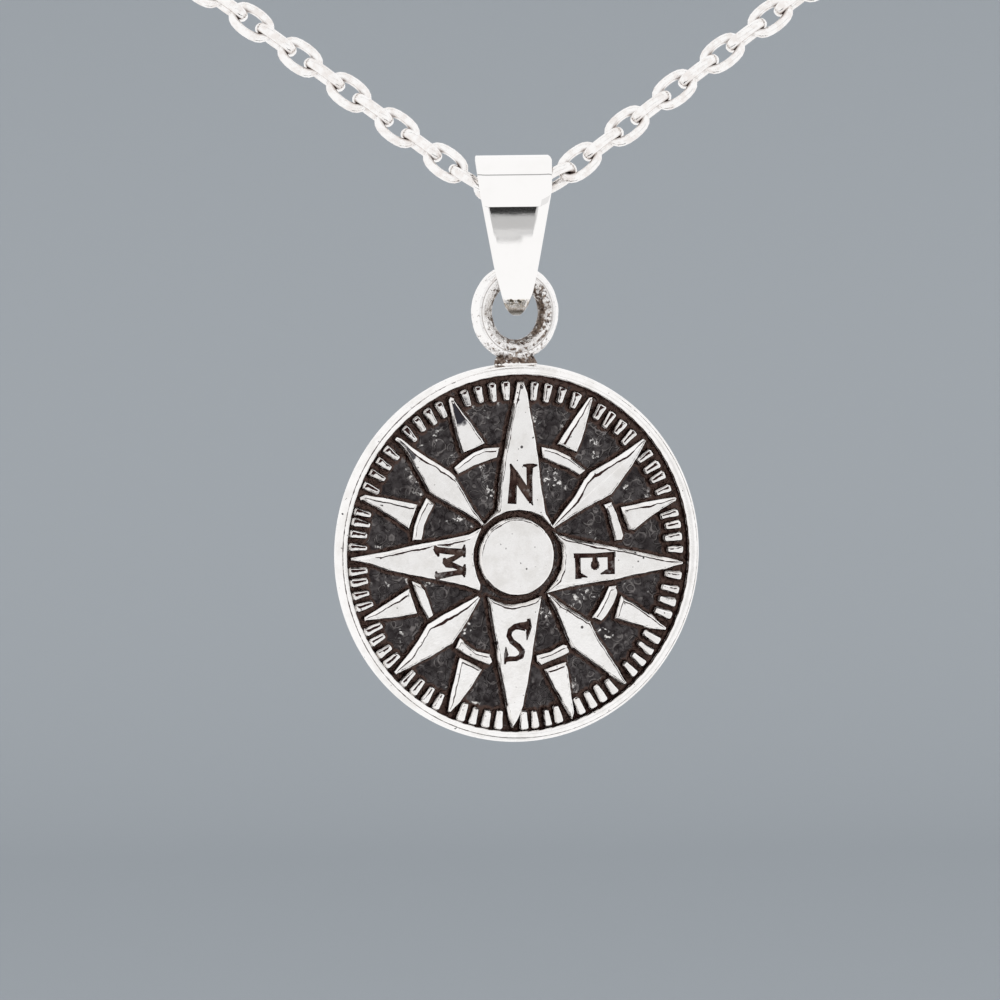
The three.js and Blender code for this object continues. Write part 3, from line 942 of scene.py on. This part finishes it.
def route_curve(points, steps):
    """A smooth line through the points, their distances evened by the square root"""
    ends = [2 * points[0] - points[1], *points, 2 * points[-1] - points[-2]]
    line = []
    for i in range(1, len(ends) - 2):
        p0, p1, p2, p3 = ends[i - 1 : i + 3]
        t1 = (p1 - p0).length ** 0.5
        t2 = t1 + (p2 - p1).length ** 0.5
        t3 = t2 + (p3 - p2).length ** 0.5
        for k in range(steps):
            t = t1 + (t2 - t1) * k / steps
            a1 = p0.lerp(p1, t / t1)
            a2 = p1.lerp(p2, (t - t1) / (t2 - t1))
            a3 = p2.lerp(p3, (t - t2) / (t3 - t2))
            b1 = a1.lerp(a2, t / t2)
            b2 = a2.lerp(a3, (t - t1) / (t3 - t1))
            line.append(b1.lerp(b2, (t - t1) / (t2 - t1)))
    return [*line, points[-1]]


def point_along(line, distance):
    """The place on a line at a distance from its start"""
    for start, end in zip(line, line[1:]):
        stretch = (end - start).length
        if distance <= stretch:
            return start.lerp(end, distance / stretch)
        distance -= stretch
    return line[-1]


def make_link():
    """One oval link lying flat, its length along x, drawn large by what the subdivision takes off"""
    link = bmesh.new()
    radius = (LINK_WIDTH - LINK_WIRE) / 2 * OVAL_GROWTH
    stretch = (LINK_LENGTH - LINK_WIDTH) / 2
    half = LINK_WIRE / 2 * WIRE_GROWTH
    section = [
        (0.95 * half, 0.55 * half),
        (0.2 * half, half),
        (-0.85 * half, 0.8 * half),
        (-0.85 * half, -0.8 * half),
        (0.2 * half, -half),
        (0.95 * half, -0.55 * half),
    ]
    wire = [(0, radius + out, z) for out, z in section]
    spin_profile(link, wire, LINK_STEPS, closed=True)
    joint = link.verts.layers.float.new("joint")
    for vert in link.verts:
        end_share = abs(vert.co.x) / radius
        inside = max(0, 1 - (vert.co.xy.length - radius + half) / half)
        vert[joint] = min(1, inside * end_share * 1.3)
        vert.co.x += stretch * max(-1, min(1, vert.co.x / (0.6 * radius)))
    bmesh.ops.recalc_face_normals(link, faces=link.faces)
    mesh = bpy.data.meshes.new("link")
    link.to_mesh(mesh)
    link.free()
    return mesh


def make_chain():
    half_way = [Vector(point) for point in CHAIN_ROUTE]
    middle = [Vector((x, half_way[0].y, half_way[0].z)) for x in (-0.65, 0.65)]
    right = route_curve(half_way, 24)
    left = [Vector((-x, y, z)) for x, y, z in right]
    line = [*reversed(left), *middle, *right]
    length = sum((b - a).length for a, b in zip(line, line[1:]))
    count = 2 * round(length / LINK_PITCH / 2)
    pitch = length / count
    chain = bmesh.new()
    link = make_link()
    for i in range(count):
        start = point_along(line, i * pitch + LINK_SHIFT)
        end = point_along(line, (i + 1) * pitch + LINK_SHIFT)
        along = (end - start).normalized()
        side = Vector((0, 1, 0)).cross(along).normalized()
        steps = i + 0.5 - count / 2
        twist = 90 * steps + 18 * max(-2.5, min(2.5, steps)) + 90 + LINK_LEAN
        across = Quaternion(along, math.radians(twist)) @ side
        up = along.cross(across)
        turn = Matrix((along, across, up)).transposed().to_4x4()
        before = len(chain.verts)
        chain.from_mesh(link)
        chain.verts.ensure_lookup_table()
        matrix = Matrix.Translation((start + end) / 2) @ turn
        bmesh.ops.transform(chain, matrix=matrix, verts=chain.verts[before:])
    print(f"chain: {count} links, {length:.1f} mm, pitch {pitch:.3f} mm")
    return finish_piece("link_chain", chain, Matrix.Scale(MM, 4))


chain = make_chain()
rounder = chain.modifiers.new("rounded wire", "SUBSURF")
rounder.levels = 1
rounder.render_levels = 1
chain.data.shade_smooth()
hand_over(chain, "necklace", "chain")

# %% [markdown]
# ## Silver
# Polished silver is nearly white and mirrors the room, so most of its look is the light. What
# tells cast silver from plate is the oxide left in the low places. The medallion's material
# turns each point into the medallion's own millimetres, reads the height above the ground, and
# goes from charcoal through red brown to bright metal as it rises.

# %% Material helpers
SILVER = (0.93, 0.915, 0.905, 1)
# Worn silver, which also colours the painted glints on the ground
SILVER_WORN_AND_GLINT = (0.84, 0.82, 0.8, 1)
OXIDE_BROWN = (0.085, 0.055, 0.046, 1)
# The deepest oxide, which also colours the painted dark reflection lines behind the facets
OXIDE_DEEP_AND_DARK_REFLECTION = (0.034, 0.017, 0.015, 1)
OXIDE_DARK = (0.024, 0.02, 0.021, 1)
OXIDE_GREY = (0.09, 0.083, 0.084, 1)
OXIDE_RIDGE = (0.27, 0.25, 0.245, 1)
# Colour of the painted dark reflections on the flats
DARK_REFLECTION_BLUE = (0.022, 0.021, 0.03, 1)


class Recipe:
    """A metal's node tree, with one short call for each kind of node that this scene uses"""

    def __init__(self, name, roughness):
        self.material = bpy.data.materials.new(name)
        self.material.use_nodes = True
        self.nodes = self.material.node_tree.nodes
        self.links = self.material.node_tree.links
        self.shader = self.nodes["Principled BSDF"]
        self.shader.inputs["Metallic"].default_value = 1
        self.shader.inputs["Roughness"].default_value = roughness
        self.shader.inputs["Base Color"].default_value = SILVER

    def feed(self, socket, value):
        """Links an output to a socket, or sets a plain value on it"""
        if isinstance(value, (int, float, tuple)):
            socket.default_value = value
        else:
            self.links.new(value, socket)

    def millimetres(self, centre, turn=(0, 0, 0), stretch=(1, 1, 1)):
        """Object coordinates turned into a piece's own millimetres"""
        coordinates = self.nodes.new("ShaderNodeTexCoord")
        mapping = self.nodes.new("ShaderNodeMapping")
        mapping.vector_type = "TEXTURE"
        mapping.inputs["Location"].default_value = centre
        mapping.inputs["Rotation"].default_value = turn
        mapping.inputs["Scale"].default_value = [MM * share for share in stretch]
        self.links.new(coordinates.outputs["Object"], mapping.inputs["Vector"])
        return mapping.outputs["Vector"]

    def axes(self, place):
        parts = self.nodes.new("ShaderNodeSeparateXYZ")
        self.links.new(place, parts.inputs["Vector"])
        return [parts.outputs[axis] for axis in "XYZ"]

    def attribute(self, name):
        reader = self.nodes.new("ShaderNodeAttribute")
        reader.attribute_name = name
        return reader.outputs["Fac"]

    def noise(self, place, scale, detail=4, rough=0.55):
        texture = self.nodes.new("ShaderNodeTexNoise")
        texture.inputs["Scale"].default_value = scale
        texture.inputs["Detail"].default_value = detail
        texture.inputs["Roughness"].default_value = rough
        self.links.new(place, texture.inputs["Vector"])
        return texture.outputs["Fac"]

    def cells(self, place, scale):
        texture = self.nodes.new("ShaderNodeTexVoronoi")
        texture.inputs["Scale"].default_value = scale
        self.links.new(place, texture.inputs["Vector"])
        return texture.outputs["Distance"]

    def warp(self, place, scale, amount):
        """A place pushed about by a soft noise, so that what is drawn there bends"""
        texture = self.nodes.new("ShaderNodeTexNoise")
        texture.inputs["Scale"].default_value = scale
        self.links.new(place, texture.inputs["Vector"])
        push = self.nodes.new("ShaderNodeVectorMath")
        push.operation = "MULTIPLY_ADD"
        push.inputs[1].default_value = (amount, amount, amount)
        self.links.new(texture.outputs["Color"], push.inputs[0])
        self.links.new(place, push.inputs[2])
        return push.outputs["Vector"]

    def punch_marks(self, place, scale):
        """Thin rings round scattered middles, as a round punch leaves them"""
        off = self.math("ABSOLUTE", self.minus(self.cells(place, scale), 0.43))
        return self.ramp(off, 0.085, 0.02)

    def pits(self, x, y, rows):
        """Small dents at given places"""
        total = 0.0
        for across, up, size in rows:
            reach = self.distance(self.minus(x, across), self.minus(y, up))
            total = self.greater(self.ramp(reach, size, size * 0.6), total)
        return total

    def ramp(self, value, low, high, to_low=0.0, to_high=1.0):
        """A soft step from one value to another"""
        ramp = self.nodes.new("ShaderNodeMapRange")
        ramp.interpolation_type = "SMOOTHSTEP"
        ramp.inputs["From Min"].default_value = low
        ramp.inputs["From Max"].default_value = high
        ramp.inputs["To Min"].default_value = to_low
        ramp.inputs["To Max"].default_value = to_high
        self.links.new(value, ramp.inputs["Value"])
        return ramp.outputs["Result"]

    def math(self, operation, first, second=0.0):
        sums = self.nodes.new("ShaderNodeMath")
        sums.operation = operation
        self.feed(sums.inputs[0], first)
        self.feed(sums.inputs[1], second)
        return sums.outputs["Value"]

    def plus(self, first, second):
        return self.math("ADD", first, second)

    def minus(self, first, second):
        return self.math("SUBTRACT", first, second)

    def times(self, first, second):
        return self.math("MULTIPLY", first, second)

    def greater(self, first, second):
        return self.math("MAXIMUM", first, second)

    def distance(self, x, y):
        """How far a place is from the middle, in its own plane"""
        squares = self.plus(self.times(x, x), self.times(y, y))
        return self.math("SQRT", squares)

    def blend(self, share, first, second):
        mix = self.nodes.new("ShaderNodeMix")
        mix.data_type = "RGBA"
        self.feed(mix.inputs["Factor"], share)
        self.feed(mix.inputs[6], first)
        self.feed(mix.inputs[7], second)
        return mix.outputs[2]

    def finish(self, colour, roughness, relief, strength):
        """Feeds the shader, the relief in millimetres"""
        self.feed(self.shader.inputs["Base Color"], colour)
        self.feed(self.shader.inputs["Roughness"], roughness)
        bump = self.nodes.new("ShaderNodeBump")
        bump.inputs["Strength"].default_value = strength
        bump.inputs["Distance"].default_value = MM
        self.feed(bump.inputs["Height"], relief)
        self.links.new(bump.outputs["Normal"], self.shader.inputs["Normal"])
        return self.material


# %% Materials of the medallion
medallion_turn = (math.radians(90), 0, math.radians(MEDALLION_TURN))

# Painted dark reflections on flats, each across, up, wide in millimetres and how dark, and small pits,
# each across, up and wide in millimetres
SHADES = [(-3.35, 7.55, 0.85, 0.98), (-6.1, 5.6, 0.68, 0.93)]
PITS = [
    (0.07, 5.61, 0.1),
    (0.1, 8.75, 0.12),
    (-0.1, 8.1, 0.1),
    (-1.43, -4.68, 0.13),
    (0.25, -0.82, 0.06),
    (3.3, -4.0, 0.1),
    (4.45, 9.0, 0.07),
    (6.3, -0.12, 0.06),
    (6.45, -0.6, 0.05),
    (6.75, -0.42, 0.07),
    (6.62, -0.08, 0.04),
]


def cast_silver():
    """Polished on the high places, red brown on the walls, charcoal on the ground, with painted glints
    and painted dark reflections
    """
    mix = Recipe("cast silver with oxide", 0.15)
    place = mix.millimetres(tuple(medallion_place @ Vector((0, 0, 0))), medallion_turn)
    x, y, z = mix.axes(place)
    stain = mix.ramp(mix.noise(place, 2.6), 0.25, 0.75, -0.04, 0.04)
    height = mix.plus(z, stain)
    high = mix.ramp(height, GROUND + 0.22, GROUND + 0.32)
    radius = mix.distance(x, y)
    outside = mix.ramp(mix.plus(radius, stain), DISC_RADIUS - 0.42, DISC_RADIUS - 0.34)
    back = mix.ramp(z, 0.1, -0.1)
    bright = mix.greater(high, mix.greater(outside, back))

    mottle = mix.ramp(mix.noise(place, 2.8, 5, 0.65), 0.32, 0.68)
    grey = mix.blend(mottle, OXIDE_DARK, OXIDE_GREY)
    bent = mix.warp(place, 2.2, 0.28)
    rings = mix.greater(mix.punch_marks(bent, 1.9), mix.punch_marks(bent, 1.25))
    worn = mix.times(rings, mix.ramp(mix.noise(place, 1.5, 3), 0.42, 0.6))
    grey = mix.blend(mix.times(worn, 0.55), grey, OXIDE_RIDGE)
    grey = mix.blend(mix.ramp(mix.noise(place, 0.9, 2), 0.55, 0.35, 0, 0.6), grey, OXIDE_DARK)
    # Painted glints: clusters of bright silver colour on the ground, kept off the ring round the boss
    cluster = mix.ramp(mix.noise(place, 0.8, 2), 0.58, 0.64)
    cluster = mix.times(cluster, mix.ramp(radius, 2.75, 3))
    glint = mix.times(cluster, mix.ramp(mix.noise(place, 4, 4, 0.6), 0.53, 0.6))
    grey = mix.blend(glint, grey, SILVER_WORN_AND_GLINT)
    foot = mix.plus(mix.attribute("foot"), mix.times(stain, 2.5))
    brown = mix.greater(mix.ramp(foot, 0.3, 0.62), mix.ramp(z, GROUND + 0.03, GROUND + 0.08))
    deep = mix.ramp(mix.plus(foot, mix.noise(place, 3)), 1.2, 1.5)
    low = mix.blend(brown, grey, mix.blend(deep, OXIDE_BROWN, OXIDE_DEEP_AND_DARK_REFLECTION))

    cloud = mix.ramp(mix.noise(place, 1.1, 5, 0.6), 0.4, 0.7)
    polish = mix.blend(cloud, SILVER, SILVER_WORN_AND_GLINT)
    flat = mix.attribute("flat")
    # Painted dark reflections on the flats of two upper-left pieces
    for across, up, size, depth in SHADES:
        reach = mix.distance(mix.minus(x, across), mix.minus(y, up))
        reach = mix.plus(reach, mix.times(stain, 3))
        shade = mix.times(flat, mix.ramp(reach, size, size * 0.72, 0, depth))
        polish = mix.blend(shade, polish, DARK_REFLECTION_BLUE)
    speck = mix.ramp(mix.noise(place, 5, 2, 0.4), 0.73, 0.77)
    speck = mix.greater(speck, mix.pits(x, y, PITS))
    polish = mix.blend(speck, polish, OXIDE_GREY)
    # The painted dark line in each facet's corner: oxide with a painted dark reflection, made ragged by
    # a noise
    ragged = mix.times(mix.minus(mix.noise(place, 4.5, 3), 0.5), 0.9)
    oxide_and_reflection_line = mix.ramp(mix.plus(mix.attribute("oxide_and_reflection_line"), ragged), 0.42, 0.56)
    polish = mix.blend(oxide_and_reflection_line, polish, OXIDE_DEEP_AND_DARK_REFLECTION)
    colour = mix.blend(bright, low, polish)

    grain = mix.times(mix.noise(place, 7, 4), mix.ramp(bright, 0, 1, 0.05, 0.005))
    ridge = mix.times(rings, mix.ramp(bright, 0, 1, 0.03, 0))
    relief = mix.plus(mix.plus(grain, ridge), mix.times(speck, -0.02))
    return mix.finish(colour, mix.ramp(bright, 0, 1, 0.4, 0.16), relief, 1)


def loop_silver():
    """Bright on the outer half of the ring, pitted and dark towards the hole and the joint"""
    mix = Recipe("loop silver with pits", 0.15)
    centre = tuple(medallion_place @ Vector((0, LOOP_CENTRE, 0)))
    squeeze = (LOOP_WIDTH - LOOP_WIRE) / (LOOP_HEIGHT - LOOP_WIRE)
    place = mix.millimetres(centre, medallion_turn, (squeeze, 1, 1))
    x, y, _ = mix.axes(place)
    radius = mix.distance(x, y)
    inner = mix.ramp(radius, 2.16, 1.95)
    wall = mix.ramp(radius, 1.75, 1.5)
    joint = mix.ramp(y, -2.05, -2.6)
    lower = mix.ramp(y, -0.6, -2.2)
    right = mix.ramp(x, 0.6, 1.6)
    rough = mix.noise(place, 4.5, 6, 0.7)
    cover = mix.plus(mix.times(inner, 0.06), mix.times(wall, 0.1))
    cover = mix.plus(cover, mix.times(right, mix.times(inner, 0.08)))
    cover = mix.plus(cover, mix.times(lower, 0.08))
    cover = mix.plus(cover, mix.times(joint, 0.18))
    edge = mix.ramp(mix.math("ABSOLUTE", mix.minus(radius, 1.82)), 0.09, 0.05, 0, 0.16)
    cover = mix.minus(cover, mix.times(edge, lower))
    dark = mix.ramp(mix.plus(rough, cover), 0.58, 0.7)
    groove = mix.ramp(mix.math("ABSOLUTE", mix.minus(radius, 2.13)), 0.04, 0.01)
    dark = mix.greater(dark, mix.times(groove, 0.6))
    cloud = mix.ramp(mix.noise(place, 1.4, 4), 0.4, 0.7)
    dull = mix.ramp(mix.greater(inner, joint), 0, 1, 0, 0.7)
    silver = mix.blend(mix.times(dull, cloud), SILVER, (0.5, 0.47, 0.45, 1))
    stain = mix.blend(mix.ramp(mix.noise(place, 6, 3), 0.3, 0.65), OXIDE_DEEP_AND_DARK_REFLECTION, (0.26, 0.2, 0.16, 1))
    colour = mix.blend(dark, silver, stain)
    pitted = mix.greater(inner, mix.greater(lower, joint))
    relief = mix.times(rough, mix.ramp(pitted, 0, 1, 0.01, 0.09))
    return mix.finish(colour, mix.ramp(dark, 0, 1, 0.14, 0.45), relief, 1)


# %% Materials of the bail, chain and clasp

# Pits in the bail's tip, each across, up and wide in millimetres
TIP_PITS = [(-0.2, -6.12, 0.1), (-0.12, -6.15, 0.08), (0.2, -6.14, 0.09), (0.29, -6.2, 0.08)]


def bail_silver():
    """A mirror polish, with casting pits at the tip and painted shade along its lowest edge"""
    mix = Recipe("mirror silver of the bail", 0.05)
    place = mix.millimetres(tuple(joint_place["bail_swing"]))
    x, _, z = mix.axes(place)
    tip = mix.ramp(z, BAIL_TIP + 0.92, BAIL_TIP + 0.82)
    # The lowest edge of the tip is painted dark as painted shade
    under = mix.ramp(z, BAIL_TIP + 0.36, BAIL_TIP + 0.2)
    rough = mix.noise(place, 4, 5, 0.65)
    cloud = mix.ramp(mix.noise(place, 0.5, 3), 0.45, 0.8)
    colour = mix.blend(cloud, SILVER, (0.9, 0.885, 0.87, 1))
    tan = mix.times(tip, mix.ramp(rough, 0.4, 0.62, 0.15, 0.9))
    colour = mix.blend(tan, colour, (0.6, 0.53, 0.44, 1))
    dark = mix.times(tip, mix.ramp(mix.noise(place, 5, 4), 0.62, 0.7))
    dark = mix.greater(dark, mix.greater(under, mix.pits(x, z, TIP_PITS)))
    colour = mix.blend(dark, colour, (0.1, 0.08, 0.055, 1))
    relief = mix.times(rough, mix.ramp(tip, 0, 1, 0.0001, 0.03))
    return mix.finish(colour, mix.ramp(tip, 0, 1, 0.018, 0.16), relief, 1)


def chain_silver():
    """Bright wire, tarnished where link rubs on link"""
    mix = Recipe("bright wire silver", 0.12)
    place = mix.millimetres((0, 0, 0))
    joint = mix.ramp(mix.attribute("joint"), 0.1, 0.6)
    cloud = mix.noise(place, 2.2, 4)
    tarnish = mix.times(joint, mix.ramp(cloud, 0.3, 0.55, 0.5, 1))
    polish = mix.blend(mix.ramp(cloud, 0.42, 0.65), SILVER, (0.84, 0.8, 0.775, 1))
    colour = mix.blend(tarnish, polish, (0.13, 0.085, 0.07, 1))
    relief = mix.times(mix.noise(place, 6, 3), 0.012)
    return mix.finish(colour, mix.ramp(tarnish, 0, 1, 0.11, 0.3), relief, 1)


def clasp_silver():
    """Bright silver with fine wear along its length"""
    mix = Recipe("plain clasp silver", 0.12)
    place = mix.millimetres((0, 0, 0), (0, 0, 0), (6, 1, 1))
    wear = mix.noise(place, 5, 5, 0.6)
    colour = mix.blend(mix.ramp(wear, 0.4, 0.75), SILVER, SILVER_WORN_AND_GLINT)
    relief = mix.times(wear, 0.008)
    return mix.finish(colour, mix.ramp(wear, 0.3, 0.7, 0.1, 0.22), relief, 1)


def dress(piece, *materials):
    """Puts materials on a piece in the order that its faces name them"""
    for slot, material in enumerate(materials):
        if slot < len(piece.data.materials):
            piece.data.materials[slot] = material
        else:
            piece.data.materials.append(material)


dress(medallion, cast_silver(), loop_silver())
dress(bail, bail_silver())
dress(chain, chain_silver())
dress(frame["nodes"]["clasp"], clasp_silver())
for name, covered in (("medallion", medallion), ("bail", bail), ("chain", chain)):
    dress(frame["nodes"][name], covered.data.materials[0])

# %% [markdown]
# ## The studio
# Silver shows its surroundings, so the studio is a white tent: pale floor, pale wall and white
# light from all round. A few dark and grey cards stand outside the view, because a white room
# alone would leave the polished bail without any drawing.

# %% Floor, wall and cards
FLOOR_Z = -0.281
WALL_Y = 1.5
SWEEP_TURN = 0.375
SWEEP_SIDE = 3
STAGE_COLOUR = (0.4, 0.43, 0.46, 1)
PENDANT = Vector((0, -0.122, -0.115))
CARD_DISTANCE = 0.16


def plain_material(name, colour, glow=0.0):
    material = bpy.data.materials.new(name)
    material.use_nodes = True
    shader = material.node_tree.nodes["Principled BSDF"]
    shader.inputs["Base Color"].default_value = colour
    shader.inputs["Roughness"].default_value = 0.9
    shader.inputs["Specular IOR Level"].default_value = 0
    shader.inputs["Emission Color"].default_value = (glow, glow, glow, 1)
    shader.inputs["Emission Strength"].default_value = float(glow > 0)
    return material


def make_sweep():
    """Floor and wall in one sheet with a round turn between them"""
    sweep = bmesh.new()
    turn = arc(WALL_Y - SWEEP_TURN, FLOOR_Z + SWEEP_TURN, SWEEP_TURN, -90, 0, 24)
    side = [(-SWEEP_SIDE, FLOOR_Z), *turn, (WALL_Y, 2)]
    verts = [sweep.verts.new((-SWEEP_SIDE, y, z)) for y, z in side]
    edges = [sweep.edges.new(pair) for pair in zip(verts, verts[1:])]
    moved = only(bmesh.types.BMVert, bmesh.ops.extrude_edge_only(sweep, edges=edges))
    bmesh.ops.translate(sweep, verts=moved, vec=(2 * SWEEP_SIDE, 0, 0))
    piece = finish_piece("sweep", sweep, Matrix.Identity(4))
    piece.data.shade_smooth()
    return piece


def hang_card(name, card, place, tone):
    """A glowing card carried to its place, which only reflections see"""
    piece = finish_piece(name, card, place)
    dress(piece, plain_material(name + " paper", (0, 0, 0, 1), tone))
    piece.visible_camera = False
    piece.visible_shadow = False
    piece.visible_diffuse = False
    piece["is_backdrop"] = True


def make_card(name, side, rise, size, tone):
    """A card that faces the pendant, placed and sized in degrees as the pendant sees it"""
    a, e = math.radians(side), math.radians(rise)
    towards = Vector((math.sin(a) * math.cos(e), -math.cos(a) * math.cos(e), math.sin(e)))
    width, height = (2 * CARD_DISTANCE * math.tan(math.radians(degrees / 2)) for degrees in size)
    turn = towards.to_track_quat("Z", "Y").to_matrix().to_4x4()
    centre = Matrix.Translation(PENDANT + towards * CARD_DISTANCE)
    card = bmesh.new()
    bmesh.ops.create_grid(card, x_segments=1, y_segments=1, size=0.5)
    hang_card(name, card, centre @ turn @ Matrix.Diagonal((width, height, 1, 1)), tone)


def make_front_card(name, narrow, wide, low, high, tone, nearer):
    """An upright card before the bail, in millimetres, narrow with round corners at its foot"""
    corner = arc(0, 0, 1, -90, 0, 8)
    foot = [(narrow - 0.28 + 0.28 * x, low + 0.5 + 0.5 * z) for x, z in corner]
    right = [*foot, (wide, low + 0.5), (wide, high)]
    left = [(-x, z) for x, z in reversed(right)]
    card = bmesh.new()
    card.faces.new([card.verts.new((x, nearer, z)) for x, z in right + left])
    front = Matrix.Translation(joint_place["bail_swing"] - Vector((0, CARD_DISTANCE, 0)))
    hang_card(name, card, front @ Matrix.Scale(MM, 4), tone)


sweep = make_sweep()
dress(sweep, plain_material("pale sweep", STAGE_COLOUR))
sweep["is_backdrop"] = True
sweep.visible_glossy = False

# Name, then half widths at the foot and above, low and high edge in millimetres, and tone
FRONT_CARDS = [
    ("grey frame", 1.14, 60, -42.84, -40.2, 0.32),
    ("white edge", 1.09, 40, -42.74, -40.2, 0.98),
    ("dark edge", 1.05, 39.5, -42.57, -40.2, 0.34),
    ("pale band", 1.0, 39, -42.44, -40.2, 0.74),
    ("grey line", 8, 39, -41.56, -40.2, 0.36),
    ("grey band", 8, 39, -41.48, -40.2, 0.56),
    ("dark band", 8, 40, -40.27, -38.5, 0.03),
]
CARD_STEP = 0.2
for step, row in enumerate(FRONT_CARDS):
    make_front_card(*row, step * CARD_STEP)

# Name, degrees to the right, degrees up, width and height in degrees, tone
CARDS = [
    ("flats card", 33.4, -2.6, (38, 13), 0.86),
    ("overhead slit", 0, 70, (70, 3), 0.42),
    ("floor card", 0, -80, (40, 14), 0.05),
]
for row in CARDS:
    make_card(*row)

# %% Light
LIGHTS = [
    ("key light", (0.05, -0.3, 0.2), 0.3, 0.5),
    ("left light", (-0.4, -0.3, -0.05), 0.25, 0.25),
    ("right light", (0.4, -0.4, -0.1), 0.3, 0.25),
]


def make_light(name, place, size, power):
    data = bpy.data.lights.new(name, "AREA")
    data.shape = "SQUARE"
    data.size = size
    data.energy = power
    lamp = bpy.data.objects.new(name, data)
    lamp.location = place
    lamp.visible_glossy = False
    lamp.rotation_mode = "QUATERNION"
    lamp.rotation_quaternion = (aim - Vector(place)).to_track_quat("-Z", "Y")
    scene.collection.objects.link(lamp)


for row in LIGHTS:
    make_light(*row)

world = bpy.data.worlds.new("white tent")
scene.world = world
world.use_nodes = True
world.node_tree.nodes["Background"].inputs["Color"].default_value = (1, 1, 1, 1)
world.node_tree.nodes["Background"].inputs["Strength"].default_value = 1.04

# %% Measure and hand over
boxes = {"cad": cad_box, "visual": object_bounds()}
{name: [list(corner) for corner in box] for name, box in boxes.items()}
